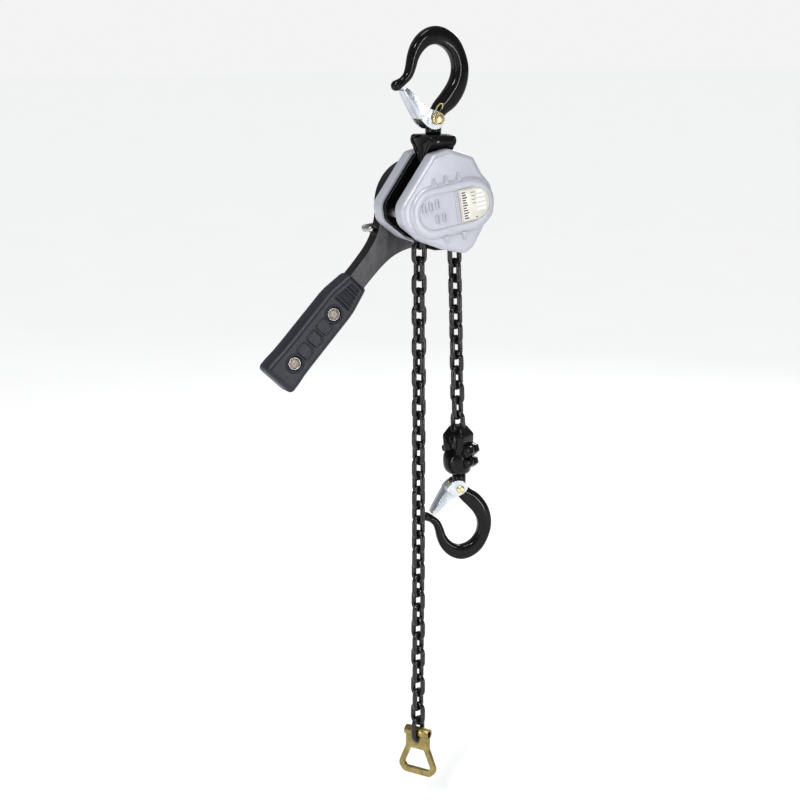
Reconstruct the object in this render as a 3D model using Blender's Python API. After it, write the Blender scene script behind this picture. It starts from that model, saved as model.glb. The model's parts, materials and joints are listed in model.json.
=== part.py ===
"""Lever chain hoist with its top hook, lever, load chain and stop ring, in metres.

The origin is the bearing point inside the top hook. +X is to the right seen from the gear cover,
+Y runs towards the lever, +Z is up. Sizes below are in millimetres and are scaled once, by MM.
"""

import math

import bmesh
import bpy
from mathutils import Vector

MM = 0.001
GAP = 0.3

# Chain
WIRE = 4.0
PITCH = 12.0
LINK_BEND = 4.5
CHAIN_RADIUS = 15.3
WRAP_RADIUS = 14.5
TAIL_TOP = -147.1
TAIL_LINKS = 32
TAIL_TWIST = 0.95
LOAD_TOP = -150.5
LOAD_LINKS = 12
LOAD_TWIST = 1.7
LOAD_START_TURN = 9.0
LOAD_LEAN = 1.8
EAR = 0.45

# Body
SHEAVE_X = 3.6
SHEAVE_Z = -118.0
BODY_ROLL = 9.5
PLATE_IN = 8.3
PLATE_OUT = 11.25
COVER_RIM = 11.55
GEAR_COVER_FRONT = 23.0
BADGE_FRONT = 26.0
BRAKE_COVER_BACK = 25.0
WALL = 2.0
COVER_CORNERS = [
    (6, 43.0, 8), (-9.4, 41.6, 6), (-41.8, 9.0, 12), (-41.8, -4.8, 12), (-26.8, -20.6, 10),
    (-8.3, -30.8, 12), (7, -36.8, 5), (14.5, -33.4, 5), (26, -19.8, 8), (36.8, -12, 11),
    (36.8, 10, 11), (30, 20.0, 6), (24.4, 34.0, 6),
]
STAYS = [(-33.4, 1), (19.5, 24.5), (-4.3, -24.8)]
TOP_PIN = (1.7, 32.2)
BADGE_HALF = 36.2
BADGE_RADIUS = 20.2
LABEL_LEFT = 5.4
LABEL_RADIUS = 13.0
LABEL_CENTRE = 19.0
LABEL_RIM = 0.6

# Gears, module 1
GEAR_REACH = 16.0
GEAR_TURN = 10.0
WHEEL_TEETH = 24
PINION_TEETH = 8

# Lever
LEVER_TURN = 133.3
HEAD_RADIUS = 34.0
LEVER_FRONT = 25.6
LEVER_BACK = 38.3
SELECTOR_PIVOT = (24.0, 0.0)
GRIP_START = 80.0
GRIP_END = 178.0
GRIP_FRONT = 22.6
GRIP_BACK = 41.0
GRIP_SPLIT = 31.8
GRIP_SCREWS = (111.0, 159.0)

BOX_FACES = ((0, 1, 2, 3), (4, 5, 6, 7), (0, 1, 5, 4), (1, 2, 6, 5), (2, 3, 7, 6), (3, 0, 4, 7))

# Hooks: centre line (x, z) with half depth and half thickness, crown at the origin
HOOK_LINE = [
    (0, -77, 6.6, 6.6), (0, -73.2, 6.6, 6.6), (0, -72.8, 4.9, 4.9), (0, -65.0, 4.9, 4.9),
    (0, -64.6, 5.9, 5.9), (0, -58, 5.9, 5.7), (0.8, -53, 5.7, 5.2), (5, -46, 6.0, 5.2),
    (11.5, -39, 6.4, 5.4), (17.3, -31.5, 6.2, 5.6), (21, -23, 5.9, 5.8), (21.8, -15, 5.9, 5.8),
    (19.8, -6.5, 6.2, 5.8), (15, 0.8, 6.7, 5.8), (8.2, 5.6, 7.1, 5.8), (0.3, 7.2, 7.1, 5.6),
    (-7.5, 4.6, 6.3, 5.2), (-13.6, -1.2, 5.4, 4.8), (-17.3, -8.3, 4.5, 4.4),
    (-19.2, -15.5, 4.0, 4.0), (-21.6, -21.6, 3.7, 3.7), (-25.8, -25.8, 3.4, 3.5),
    (-29.6, -28.1, 3.8, 3.8), (-32.6, -29.6, 3.5, 3.5), (-34.6, -30.6, 1.6, 1.6),
]
COLLAR_ROW = 5
LATCH_PIVOT = (-1.0, -53.0)
LATCH_LENGTH = 33.0
LATCH_ANGLE = 135.0
LOWER_SCALE = 0.893
LOWER_CROWN = -388.3
LOWER_TURN = -14.0
BLOCK_TURN = 27.7

# Stop ring
RING_TUBE_Z = -541.0
RING_TURN = -60.0


def clear_scene():
    for thing in list(bpy.data.objects):
        bpy.data.objects.remove(thing, do_unlink=True)


def finish(name, colour, roughness, metallic):
    """A Principled material of one colour."""
    made = bpy.data.materials.new(name)
    made.use_nodes = True
    shader = made.node_tree.nodes["Principled BSDF"]
    shader.inputs["Base Color"].default_value = (*colour, 1.0)
    shader.inputs["Roughness"].default_value = roughness
    shader.inputs["Metallic"].default_value = metallic
    return made


def axes(name, place, turn=(0, 0, 0), parent=None):
    """An empty that carries a sub-assembly: place in mm, turn in degrees."""
    made = bpy.data.objects.new(name, None)
    bpy.context.scene.collection.objects.link(made)
    made.location = Vector(place) * MM
    made.rotation_euler = [math.radians(angle) for angle in turn]
    made.parent = parent
    return made


def solid(name, rings, material, parent=None, closed=False, helper=False):
    """One closed surface through rings of equal point counts, capped unless it closes on itself."""
    mesh = bmesh.new()
    rows = [[mesh.verts.new(Vector(point) * MM) for point in ring] for ring in rings]
    pairs = list(zip(rows, rows[1:]))
    if closed:
        pairs.append((rows[-1], rows[0]))
    for first, second in pairs:
        for i in range(len(first)):
            j = (i + 1) % len(first)
            mesh.faces.new((first[i], first[j], second[j], second[i]))
    if not closed:
        mesh.faces.new(rows[0])
        mesh.faces.new(rows[-1])
    return object_of(name, mesh, material, parent, helper)


def object_of(name, mesh, material, parent=None, helper=False):
    bmesh.ops.recalc_face_normals(mesh, faces=mesh.faces)
    data = bpy.data.meshes.new(name)
    mesh.to_mesh(data)
    mesh.free()
    if material:
        data.materials.append(material)
    data.shade_smooth()
    data.set_sharp_from_angle(angle=math.radians(40))
    made = bpy.data.objects.new(name, data)
    bpy.context.scene.collection.objects.link(made)
    made.parent = parent
    if helper:
        made.hide_render = True
        made.display_type = "WIRE"
    return made


def boolean(target, other, operation):
    """Joins other to target or cuts it away, and hides other."""
    other.hide_render = True
    other.display_type = "WIRE"
    modifier = target.modifiers.new(operation.title() + "." + other.name, "BOOLEAN")
    modifier.operation = operation
    modifier.solver = "EXACT"
    modifier.object = other


def cut(target, *others):
    for other in others:
        boolean(target, other, "DIFFERENCE")


def join(target, *others):
    for other in others:
        boolean(target, other, "UNION")


def circle(radius, steps, start=0.0):
    angles = [start + 2 * math.pi * i / steps for i in range(steps)]
    return [(radius * math.cos(angle), radius * math.sin(angle)) for angle in angles]


def along_y(outline, y, centre=(0, 0)):
    return [(centre[0] + u, y, centre[1] + w) for u, w in outline]


def along_z(outline, z, centre=(0, 0)):
    return [(centre[0] + u, centre[1] + v, z) for u, v in outline]


def along_x(outline, x, centre=(0, 0)):
    return [(x, centre[0] + v, centre[1] + w) for v, w in outline]


def turned(name, profile, material, parent=None, centre=(0, 0), steps=14, place=along_y,
           hollow=False, helper=False):
    """A lathe shape: profile lists (radius, position along the axis)."""
    rings = [place(circle(radius, steps), s, centre) for radius, s in profile]
    return solid(name, rings, material, parent, closed=hollow, helper=helper)


def rod(name, radius, start, end, material=None, parent=None, centre=(0, 0), steps=16, place=along_y,
        helper=True):
    profile = [(radius, start), (radius, end)]
    return turned(name, profile, material, parent, centre, steps, place, helper=helper)


def washer(name, inner, outer, start, end, material, parent=None, centre=(0, 0), steps=14,
           place=along_y):
    profile = [(inner, start), (outer, start), (outer, end), (inner, end)]
    return turned(name, profile, material, parent, centre, steps, place, hollow=True)


def prism(name, outline, start, end, material, parent=None, centre=(0, 0), place=along_y,
          helper=False):
    rings = [place(outline, start, centre), place(outline, end, centre)]
    return solid(name, rings, material, parent, helper=helper)


def brick(name, low, high, material=None, parent=None, helper=True):
    outline = [(low[0], low[2]), (high[0], low[2]), (high[0], high[2]), (low[0], high[2])]
    return prism(name, outline, low[1], high[1], material, parent, helper=helper)


def rounded(corners, steps=4):
    """A polygon outline with its corners (u, w, radius) rounded by arcs."""
    points = []
    for i, (u, w, radius) in enumerate(corners):
        here = Vector((u, w))
        before = (Vector(corners[i - 1][:2]) - here).normalized()
        after = (Vector(corners[(i + 1) % len(corners)][:2]) - here).normalized()
        half = before.angle(after) / 2
        middle = here + (before + after).normalized() * radius / math.sin(half)
        first = here + before * radius / math.tan(half) - middle
        last = here + after * radius / math.tan(half) - middle
        start = math.atan2(first.y, first.x)
        turn = math.remainder(math.atan2(last.y, last.x) - start, 2 * math.pi)
        for step in range(steps + 1):
            angle = start + turn * step / steps
            points.append((middle.x + radius * math.cos(angle), middle.y + radius * math.sin(angle)))
    return points


def inset(outline, distance):
    """The outline moved inwards by distance, for a counter-clockwise outline."""
    moved = []
    for i, point in enumerate(outline):
        here = Vector(point)
        along = (Vector(outline[(i + 1) % len(outline)]) - Vector(outline[i - 1])).normalized()
        moved.append(tuple(here + Vector((-along.y, along.x)) * distance))
    return moved


def stadium(half_length, radius, steps):
    """A rectangle with half-round ends, long along the first axis."""
    middle = half_length - radius
    right = [(middle + radius * math.cos(a), radius * math.sin(a)) for a in sweep(-90, 90, steps)]
    left = [(-middle + radius * math.cos(a), radius * math.sin(a)) for a in sweep(90, 270, steps)]
    return right + left


def sweep(first, last, steps):
    return [math.radians(first + (last - first) * i / steps) for i in range(steps + 1)]


# ---------------------------------------------------------------- chain


def link_rings(centre, turn, up=PITCH / 2, down=PITCH / 2, bend=LINK_BEND, bend_steps=3, sides=5):
    """Rings round one link: up and down are the inner half lengths, bend the wire's bend radius."""
    across = Vector((math.cos(math.radians(turn)), math.sin(math.radians(turn)), 0))
    through = Vector((-across.y, across.x, 0))
    path = []
    for angle in sweep(0, 180, bend_steps):
        path.append((bend * math.cos(angle), up + WIRE / 2 - bend + bend * math.sin(angle), angle))
    for angle in sweep(180, 360, bend_steps):
        path.append((bend * math.cos(angle), -down - WIRE / 2 + bend + bend * math.sin(angle), angle))
    rings = []
    for x, z, angle in path:
        outwards = across * math.cos(angle) + Vector((0, 0, math.sin(angle)))
        ring = []
        for u, v in circle(WIRE / 2, sides, math.pi / sides):
            ring.append(Vector(centre) + across * x + Vector((0, 0, z)) + outwards * u + through * v)
        rings.append(ring)
    return rings


def add_links(mesh, rings):
    rows = [[mesh.verts.new(Vector(point) * MM) for point in ring] for ring in rings]
    for first, second in zip(rows, rows[1:] + rows[:1]):
        for i in range(len(first)):
            j = (i + 1) % len(first)
            mesh.faces.new((first[i], first[j], second[j], second[i]))


def strand(name, links, material, parent):
    """Links in order; neighbours reach a little into each other so that the strand is one body."""
    halves = []
    for part in (0, 1):
        mesh = bmesh.new()
        for rings in links[part::2]:
            add_links(mesh, rings)
        halves.append(object_of(name + (".others" if part else ""), mesh, material, parent))
    if len(links) > 1:
        join(halves[0], halves[1])
    return halves[0]


def straight_links(x, top, count, first_turn, twist, last_free=True, first_index=0):
    """Links hanging from the joint at height top; end links keep clear of what they hang from."""
    links = []
    for k in range(count):
        centre = (x, 0, top - PITCH / 2 - PITCH * k)
        quarter = 90 * ((k + first_index) % 2)
        up = PITCH / 2 - EAR if k else PITCH / 2 + EAR
        down = PITCH / 2 + EAR if last_free and k == count - 1 else PITCH / 2 - EAR
        turn = first_turn + quarter + twist * (k + first_index)
        links.append(link_rings(centre, turn, up, down))
    return links


def tail_side(black):
    """The slack side: hidden top links, the long strand with its wide end link."""
    x = SHEAVE_X - CHAIN_RADIUS
    top = straight_links(x, TAIL_TOP + 2 * PITCH, 2, 0, TAIL_TWIST, first_index=-2)
    strand("tail_top_link", top, black, None)
    hanging = straight_links(x, TAIL_TOP, TAIL_LINKS, 0, TAIL_TWIST, last_free=False)
    end_top = TAIL_TOP - PITCH * TAIL_LINKS
    tube_room = 14.6
    end_centre = (x, 0, end_top - tube_room / 2)
    wide = 6.6
    end_turn = TAIL_TWIST * TAIL_LINKS
    hanging.append(link_rings(end_centre, end_turn, tube_room / 2 + EAR, tube_room / 2, wide, 6))
    strand("tail_chain", hanging, black, None)


def load_side(black, load_axes):
    """The loaded side: hidden top links and the strand that leans towards the hook block."""
    x = SHEAVE_X + CHAIN_RADIUS
    top = straight_links(x, LOAD_TOP + 2 * PITCH, 2, LOAD_START_TURN, 0, first_index=-2)
    strand("load_top_link", top, black, None)
    hanging = straight_links(0, 0, LOAD_LINKS, LOAD_START_TURN, LOAD_TWIST)
    strand("load_chain", hanging, black, load_axes)


def wrapped_links(black, parent):
    """The three links carried over the top half of the sheave, one flat between two standing."""
    halves = []
    for part, angles in enumerate(((45, 135), (90,))):
        mesh = bmesh.new()
        for angle in angles:
            flat = angle == 90
            rings = link_rings((0, 0, 0), 90 if flat else 0)
            turn = math.radians(angle)
            out = Vector((math.cos(turn), 0, math.sin(turn)))
            tangent = Vector((-math.sin(turn), 0, math.cos(turn)))
            moved = []
            for ring in rings:
                moved.append([
                    out * (WRAP_RADIUS + p[0]) + Vector((0, p[1], 0)) + tangent * p[2] for p in ring
                ])
            add_links(mesh, moved)
        halves.append(object_of("wrapped_links" + (".others" if part else ""), mesh, black, parent))
    join(halves[0], halves[1])


# ---------------------------------------------------------------- hooks and latches


def hook(name, scale, material, parent):
    """A forged hook: a round shank with a head and a collar, and a bowl that ends in a tip."""
    rows = [Vector(row) * scale for row in HOOK_LINE]
    rings = []
    for i, row in enumerate(rows):
        before, after = rows[max(0, i - 1)], rows[min(len(rows) - 1, i + 1)]
        along = Vector((after[0] - before[0], 0, after[1] - before[1])).normalized()
        if i <= COLLAR_ROW:
            along = Vector((0, 0, 1))
        side = Vector((along.z, 0, -along.x))
        ring = []
        for u, v in circle(1, 10, math.pi / 10):
            middle = Vector((row[0], 0, row[1]))
            ring.append(middle + side * u * row[2] + Vector((0, 1, 0)) * v * row[3])
        rings.append(ring)
    body = solid(name, rings, material, parent)
    pivot = (LATCH_PIVOT[0] * scale, LATCH_PIVOT[1] * scale)
    cut(body, rod(name + ".rivet_bore", 2.3 * scale, -9, 9, parent=parent, centre=pivot, steps=8))


def latch(prefix, scale, zinc, brass, parent):
    """A folded sheet latch, its rivet and its spring, in the hook's own axes."""
    pivot = axes(prefix + "_latch_axes", (LATCH_PIVOT[0] * scale, 0, LATCH_PIVOT[1] * scale),
                 (0, -LATCH_ANGLE, 0), parent)
    reach = LATCH_LENGTH * scale
    outer = 8.0 * scale
    sheet = 1.3 * scale
    tip_half = 4.6 * scale
    stations = [
        (-4.5 * scale, outer, 5.6), (4 * scale, outer, 7.2), (17 * scale, outer, 6.6),
        (reach, tip_half, 3.0),
    ]
    rings = []
    for s, half, deep in stations:
        deep = deep * scale
        low, high = -deep * 0.45, deep * 0.55
        inner = half - sheet
        rings.append([
            (s, -half, high), (s, half, high), (s, half, low), (s, inner, low),
            (s, inner, high - sheet), (s, -inner, high - sheet), (s, -inner, low), (s, -half, low),
        ])
    body = solid(prefix + "_latch", rings, zinc, pivot)
    bore = rod(prefix + "_latch.bore", 2.3 * scale, -outer - 1, outer + 1, parent=pivot, steps=8)
    relief = brick(prefix + "_latch.relief", (-6 * scale, -outer + sheet, -6),
                   (8.5 * scale, outer - sheet, 6), parent=pivot)
    cut(body, bore, relief)
    head = 3.0 * scale
    shank = 1.9 * scale
    turned(prefix + "_latch_rivet", [
        (head * 0.6, -outer - 1.9), (head, -outer - 1.2), (head, -outer - GAP), (shank, -outer - GAP),
        (shank, outer + GAP), (head, outer + GAP), (head, outer + 1.2), (head * 0.6, outer + 1.9),
    ], brass, pivot, steps=8)
    return pivot


# ---------------------------------------------------------------- body


def gear_outline(teeth, start, pitch_radius=None, tip=0.6, root=0.9, share=0.36):
    """Trapezoid teeth; start is the angle of one tooth's middle in degrees."""
    radius = pitch_radius or teeth / 2
    step = 2 * math.pi / teeth
    points = []
    for i in range(teeth):
        middle = math.radians(start) + i * step
        for share_here, r in ((-share, radius - root), (-share * 0.55, radius + tip),
                              (share * 0.55, radius + tip), (share, radius - root)):
            angle = middle + share_here * step * 0.75
            points.append((r * math.cos(angle), r * math.sin(angle)))
    return points


def ratchet_outline(teeth, tip, root, start):
    """Saw teeth whose steep faces look counter-clockwise."""
    points = []
    for i in range(teeth):
        angle = math.radians(start) + 2 * math.pi * i / teeth
        points.append((tip * math.cos(angle), tip * math.sin(angle)))
        angle += math.radians(2)
        points.append((root * math.cos(angle), root * math.sin(angle)))
    return points


def side_plates(black, bronze, body_axes):
    """Two stamped plates that carry the sheave's bushes, the stays and the suspension pin."""
    outline = inset(rounded(COVER_CORNERS, 2), 2.5)
    stay_holes = [(place, 2.8) for place in STAYS]
    gear_holes = [(gear_centre(sign), 2.2) for sign in (1, -1)]
    for side, start, end, holes in (
        ("front", -PLATE_OUT, -PLATE_IN, stay_holes + gear_holes),
        ("rear", PLATE_IN, PLATE_OUT, stay_holes),
    ):
        name = side + "_side_plate"
        plate = prism(name, outline, start, end, black, body_axes)
        cut(plate, rod(name + ".bush_hole", 11.5, start - 1, end + 1, parent=body_axes, steps=18))
        for i, (place, radius) in enumerate([*holes, (TOP_PIN, 3.8)]):
            cut(plate, rod(f"{name}.hole_{i}", radius, start - 1, end + 1, parent=body_axes,
                           centre=place, steps=8))
        washer(side + "_bush", 9.3, 11.2, start + 0.1, end - 0.1, bronze, body_axes)


def gear_centre(sign):
    turn = math.radians(GEAR_TURN)
    return (sign * GEAR_REACH * math.cos(turn), sign * GEAR_REACH * math.sin(turn))


def stays(steel, body_axes):
    """Shouldered stays that space the plates, with their ends riveted over outside."""
    shoulder = PLATE_IN - GAP
    seat = PLATE_OUT + GAP
    for i, place in enumerate(STAYS, 1):
        turned(f"riveted_stay_{i}", [
            (2.6, -seat - 1.8), (4.0, -seat - 1.0), (4.0, -seat), (2.5, -seat), (2.5, -shoulder),
            (3.6, -shoulder), (3.6, shoulder), (2.5, shoulder), (2.5, seat), (4.0, seat),
            (4.0, seat + 1.0), (2.6, seat + 1.8),
        ], steel, body_axes, place, steps=8)


def covers(silver, body_axes):
    outline = rounded(COVER_CORNERS, 2)
    for name, sign, depth in (
        ("gear_cover", -1, GEAR_COVER_FRONT), ("brake_cover", 1, BRAKE_COVER_BACK),
    ):
        rings = [
            along_y(inset(outline, 1.6), sign * depth),
            along_y(inset(outline, 0.4), sign * (depth - 1.4)),
            along_y(outline, sign * (depth - 3.2)),
            along_y(outline, sign * COVER_RIM),
            along_y(inset(outline, WALL), sign * COVER_RIM),
            along_y(inset(outline, WALL), sign * (depth - WALL)),
        ]
        shell = solid(name, rings, silver, body_axes)
        if sign < 0:
            badge = stadium(BADGE_HALF, BADGE_RADIUS, 10)
            block = solid(name + ".badge", [
                along_y(badge, -depth + 1),
                along_y(badge, -BADGE_FRONT + 1),
                along_y(inset(badge, 1), -BADGE_FRONT),
            ], silver, body_axes, helper=True)
            join(shell, block)
            sunk = stadium(BADGE_HALF - 4.2, LABEL_RADIUS, 8)
            recess = prism(name + ".recess", sunk, -BADGE_FRONT - 1, -BADGE_FRONT + 0.9, None, body_axes,
                           helper=True)
            cut(shell, recess)
        else:
            cut(shell, rod(name + ".hub_hole", 15.6, depth - 4, depth + 1, parent=body_axes, steps=20))


def rating_label(cream, body_axes):
    """A plate with a straight left edge and a half-round right end."""
    radius = LABEL_RADIUS - LABEL_RIM
    arc = [(LABEL_CENTRE + radius * math.cos(a), radius * math.sin(a)) for a in sweep(-90, 90, 10)]
    left = [(LABEL_LEFT, radius), (LABEL_LEFT, -radius)]
    prism("rating_label", arc + left, -BADGE_FRONT - 0.25, -BADGE_FRONT + 0.6, cream, body_axes)


def top_pin(steel, body_axes):
    turned("suspension_pin", [
        (6.0, -14.2), (6.0, -PLATE_OUT - GAP), (3.5, -PLATE_OUT - GAP), (3.5, PLATE_OUT + 2.2),
        (2.4, PLATE_OUT + 2.8),
    ], steel, body_axes, TOP_PIN, steps=16)
    washer("suspension_pin_clip", 3.8, 6.0, PLATE_OUT + GAP, PLATE_OUT + 1.6, steel, body_axes, TOP_PIN,
           16)


def chain_stripper(black, parent):
    """The guide below the sheave: a block between the strands with a finger in the sheave's groove."""
    block = prism("chain_stripper", [(-6, -33), (6, -33), (7, -20), (-7, -20)], -7.7, 7.7, black, parent)
    join(block, brick("chain_stripper.finger", (-3.5, -1.8, -21), (3.5, 1.8, -9.6), parent=parent))
    roll = math.radians(BODY_ROLL)
    u, w = STAYS[2]
    place = (u * math.cos(roll) - w * math.sin(roll), u * math.sin(roll) + w * math.cos(roll))
    cut(block, rod("chain_stripper.hole", 4.0, -9, 9, parent=parent, centre=place, steps=16))


def load_sheave(steel, black, spin_axes, body_axes):
    """The chain sheave with its pocket teeth, the load gear and the links that lie over it."""
    sheave = turned("load_sheave", [
        (4.6, -16.0), (5.7, -16.0), (5.7, -11.7), (9.0, -11.7), (9.0, -7.6), (12.0, -7.6), (12.0, -2.7),
        (8.2, -2.7), (8.2, 2.7), (12.0, 2.7), (12.0, 7.6), (9.0, 7.6), (9.0, 11.7), (4.6, 11.7),
    ], steel, spin_axes, steps=24, hollow=True)
    mesh = bmesh.new()
    for angle in (45, 135, 225, 315):
        for side in (-1, 1):
            turn = math.radians(angle)
            out = Vector((math.cos(turn), 0, math.sin(turn)))
            tangent = Vector((-math.sin(turn), 0, math.cos(turn)))
            corners = []
            for r, half in ((11.5, 1.5), (16.8, 0.8)):
                for t, y in ((-half, 2.9), (half, 2.9), (half, 7.4), (-half, 7.4)):
                    corner = out * r + tangent * t + Vector((0, side * y, 0))
                    corners.append(mesh.verts.new(corner * MM))
            for face in BOX_FACES:
                mesh.faces.new([corners[i] for i in face])
    join(sheave, object_of("load_sheave.teeth", mesh, steel, spin_axes, helper=True))
    gear = prism("load_gear", gear_outline(WHEEL_TEETH, GEAR_TURN), -15.7, -12.1, steel, body_axes)
    cut(gear, rod("load_gear.bore", 6.0, -17, -11, parent=body_axes, steps=16))
    wrapped_links(black, spin_axes)


def intermediate_gears(steel, body_axes):
    """Each large wheel and its small pinion are one piece on a stub that turns in the front plate."""
    for i, (sign, turn) in enumerate(((1, GEAR_TURN), (-1, GEAR_TURN + 180)), 1):
        place = gear_centre(sign)
        name = f"intermediate_gear_{i}"
        facing = turn + 180
        wheel_teeth = gear_outline(WHEEL_TEETH, facing + 180 / WHEEL_TEETH)
        wheel = prism(name, wheel_teeth, -19.9, -16.6, steel, body_axes, place)
        pinion_teeth = gear_outline(PINION_TEETH, facing + 180 / PINION_TEETH)
        small = prism(name + ".pinion", pinion_teeth, -17, -12.1, steel, body_axes, place, helper=True)
        stub = rod(name + ".stub", 1.8, -12.6, -8.5, parent=body_axes, centre=place, steps=8)
        join(wheel, small, stub)


def drive_train(steel, black, lining, body_axes):
    """Shaft with its pinion, the brake pack and the wheel on the far end."""
    shaft = prism("drive_shaft", gear_outline(PINION_TEETH, GEAR_TURN), -19.9, -16.4, steel, body_axes)
    rod_profile = [(2.9, -20.6), (2.9, -16.6), (4.2, -16.2), (4.2, 52), (3.6, 52.6)]
    join(shaft, turned("drive_shaft.rod", rod_profile, steel, body_axes, steps=16, helper=True))
    hub_profile = [(4.6, 12.1), (17, 12.1), (17, 14.6), (8, 14.6), (8, 20.6), (4.6, 20.6)]
    turned("brake_hub", hub_profile, steel, body_axes, hollow=True)
    washer("front_friction_disc", 8.3, 16.5, 14.9, 16.2, lining, body_axes)
    ratchet = prism("brake_ratchet", ratchet_outline(12, 21.8, 18.8, 160), 16.5, 19.0, steel, body_axes)
    cut(ratchet, rod("brake_ratchet.bore", 8.3, 15, 21, parent=body_axes, steps=18))
    washer("rear_friction_disc", 8.3, 16.5, 19.3, 20.5, lining, body_axes)
    gear = turned("drive_gear", [
        (4.6, 20.9), (14.8, 20.9), (14.8, 27.9), (11.5, 27.9), (11.5, 33.5), (8, 33.5), (8, 38.6),
        (4.6, 38.6),
    ], steel, body_axes, hollow=True)
    teeth = prism("drive_gear.teeth", gear_outline(14, 0, 13.0, 1.3, 1.8, 0.4), 28.2, 33.2, steel,
                  body_axes, helper=True)
    join(gear, teeth)
    cut(gear, rod("drive_gear.bore", 4.6, 19, 40, parent=body_axes, steps=18))
    hand_wheel(black, body_axes)
    prism("wheel_nut", circle(6.6, 6), 50.3, 53.6, steel, body_axes)
    cut(bpy.data.objects["wheel_nut"], rod("wheel_nut.bore", 4.5, 49, 55, parent=body_axes, steps=16))


def hand_wheel(black, body_axes):
    """A scalloped free-wheeling knob."""
    waves = 8
    steps = waves * 6
    outline = []
    for i in range(steps):
        angle = 2 * math.pi * i / steps
        radius = 23.0 + 1.6 * math.cos(waves * angle)
        outline.append((radius * math.cos(angle), radius * math.sin(angle)))
    wheel = solid("hand_wheel", [
        along_y(inset(outline, 2.0), 42.0), along_y(outline, 43.2), along_y(outline, 48.8),
        along_y(inset(outline, 2.0), 50.0),
    ], black, body_axes)
    cut(wheel, rod("hand_wheel.bore", 4.5, 41, 51, parent=body_axes, steps=16))


def brake_pawls(steel, body_axes):
    """Two pawls behind the ratchet's steep teeth, each on its own pin."""
    for i, start in enumerate((160, 10), 1):
        pivot_angle = math.radians(start + 27)
        pivot = (29.5 * math.cos(pivot_angle), 29.5 * math.sin(pivot_angle))
        nose = []
        for radius, angle in ((23.4, 16), (20.5, 9), (20.0, 3.4), (23.4, 3.4)):
            turn = math.radians(start + angle)
            nose.append((radius * math.cos(turn) - pivot[0], radius * math.sin(turn) - pivot[1]))
        heel = [
            (3.9 * math.cos(math.radians(start) + a), 3.9 * math.sin(math.radians(start) + a))
            for a in sweep(-80, 130, 6)
        ]
        pawl_axes = axes(f"brake_pawl_{i}_axes", (pivot[0], 0, pivot[1]), parent=body_axes)
        pawl = prism(f"brake_pawl_{i}", nose + heel, 16.6, 18.9, steel, pawl_axes)
        cut(pawl, rod(f"brake_pawl_{i}.bore", 2.1, 15, 20, parent=pawl_axes, steps=8))
        rod(f"brake_pawl_pin_{i}", 1.8, PLATE_OUT + GAP, 20.4, steel, body_axes, pivot, 12,
            helper=False)


# ---------------------------------------------------------------- lever


def lever_outline():
    """Head circle, neck with concave flares and a square end, long along the first axis."""
    head = [(HEAD_RADIUS * math.cos(a), HEAD_RADIUS * math.sin(a)) for a in sweep(38, 322, 22)]
    under = [(38, -13.5), (46, -9.6), (56, -8.2), (GRIP_START - 0.6, -7.8)]
    upper = [(GRIP_START - 0.6, 7.8), (56, 8.2), (46, 9.6), (38, 13.5)]
    return head + under + upper


def lever(graphite, steel, lever_axes):
    """The lever's housing with its tang, its back cover and the cover's screws."""
    housing = prism("lever_housing", lever_outline(), LEVER_FRONT, 36.0, graphite, lever_axes)
    join(housing, brick("lever_housing.tang", (70, 29.0, -5.5), (167, 34.6, 5.5), parent=lever_axes))
    cut(housing, rod("lever_housing.cavity", 30.0, 27.6, 37.0, parent=lever_axes, steps=20))
    cut(housing, rod("lever_housing.hub_hole", 15.3, 24.0, 30.0, parent=lever_axes, steps=20))
    for i, s in enumerate(GRIP_SCREWS):
        hole = rod(f"lever_housing.screw_{i}", 2.4, 27, 36.5, parent=lever_axes, centre=(s, 0), steps=8)
        cut(housing, hole)
    cover = prism("lever_cover", lever_outline(), 36.3, LEVER_BACK, graphite, lever_axes)
    cut(cover, rod("lever_cover.hub_hole", 9.0, 35, 40, parent=lever_axes, steps=18))
    cut(cover, rod("lever_cover.shaft_hole", 2.8, 35, 40, parent=lever_axes, centre=SELECTOR_PIVOT,
                   steps=8))
    for i, angle in enumerate((100, 180, 260), 1):
        turn = math.radians(angle)
        place = (31.6 * math.cos(turn), 31.6 * math.sin(turn))
        profile = [(1.9, LEVER_BACK + GAP), (1.9, LEVER_BACK + 1.2), (1.2, LEVER_BACK + 1.7)]
        turned(f"lever_cover_screw_{i}", profile, steel, lever_axes, place, 12)


def grip_outline(extra=0.0):
    """The handle's outline: a tapered neck, straight sides and a slightly flared end."""
    side = [
        (GRIP_START, 9.5), (GRIP_START + 3, 10.8), (98, 13.6), (150, 14.0), (168, 14.9),
        (GRIP_END - 4, 14.4),
    ]
    side = [(s, half + extra) for s, half in side]
    end = [(GRIP_END, 10.5 + extra)]
    upper = side + end
    return [(s, -half) for s, half in upper] + [(s, half) for s, half in reversed(upper)]


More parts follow.
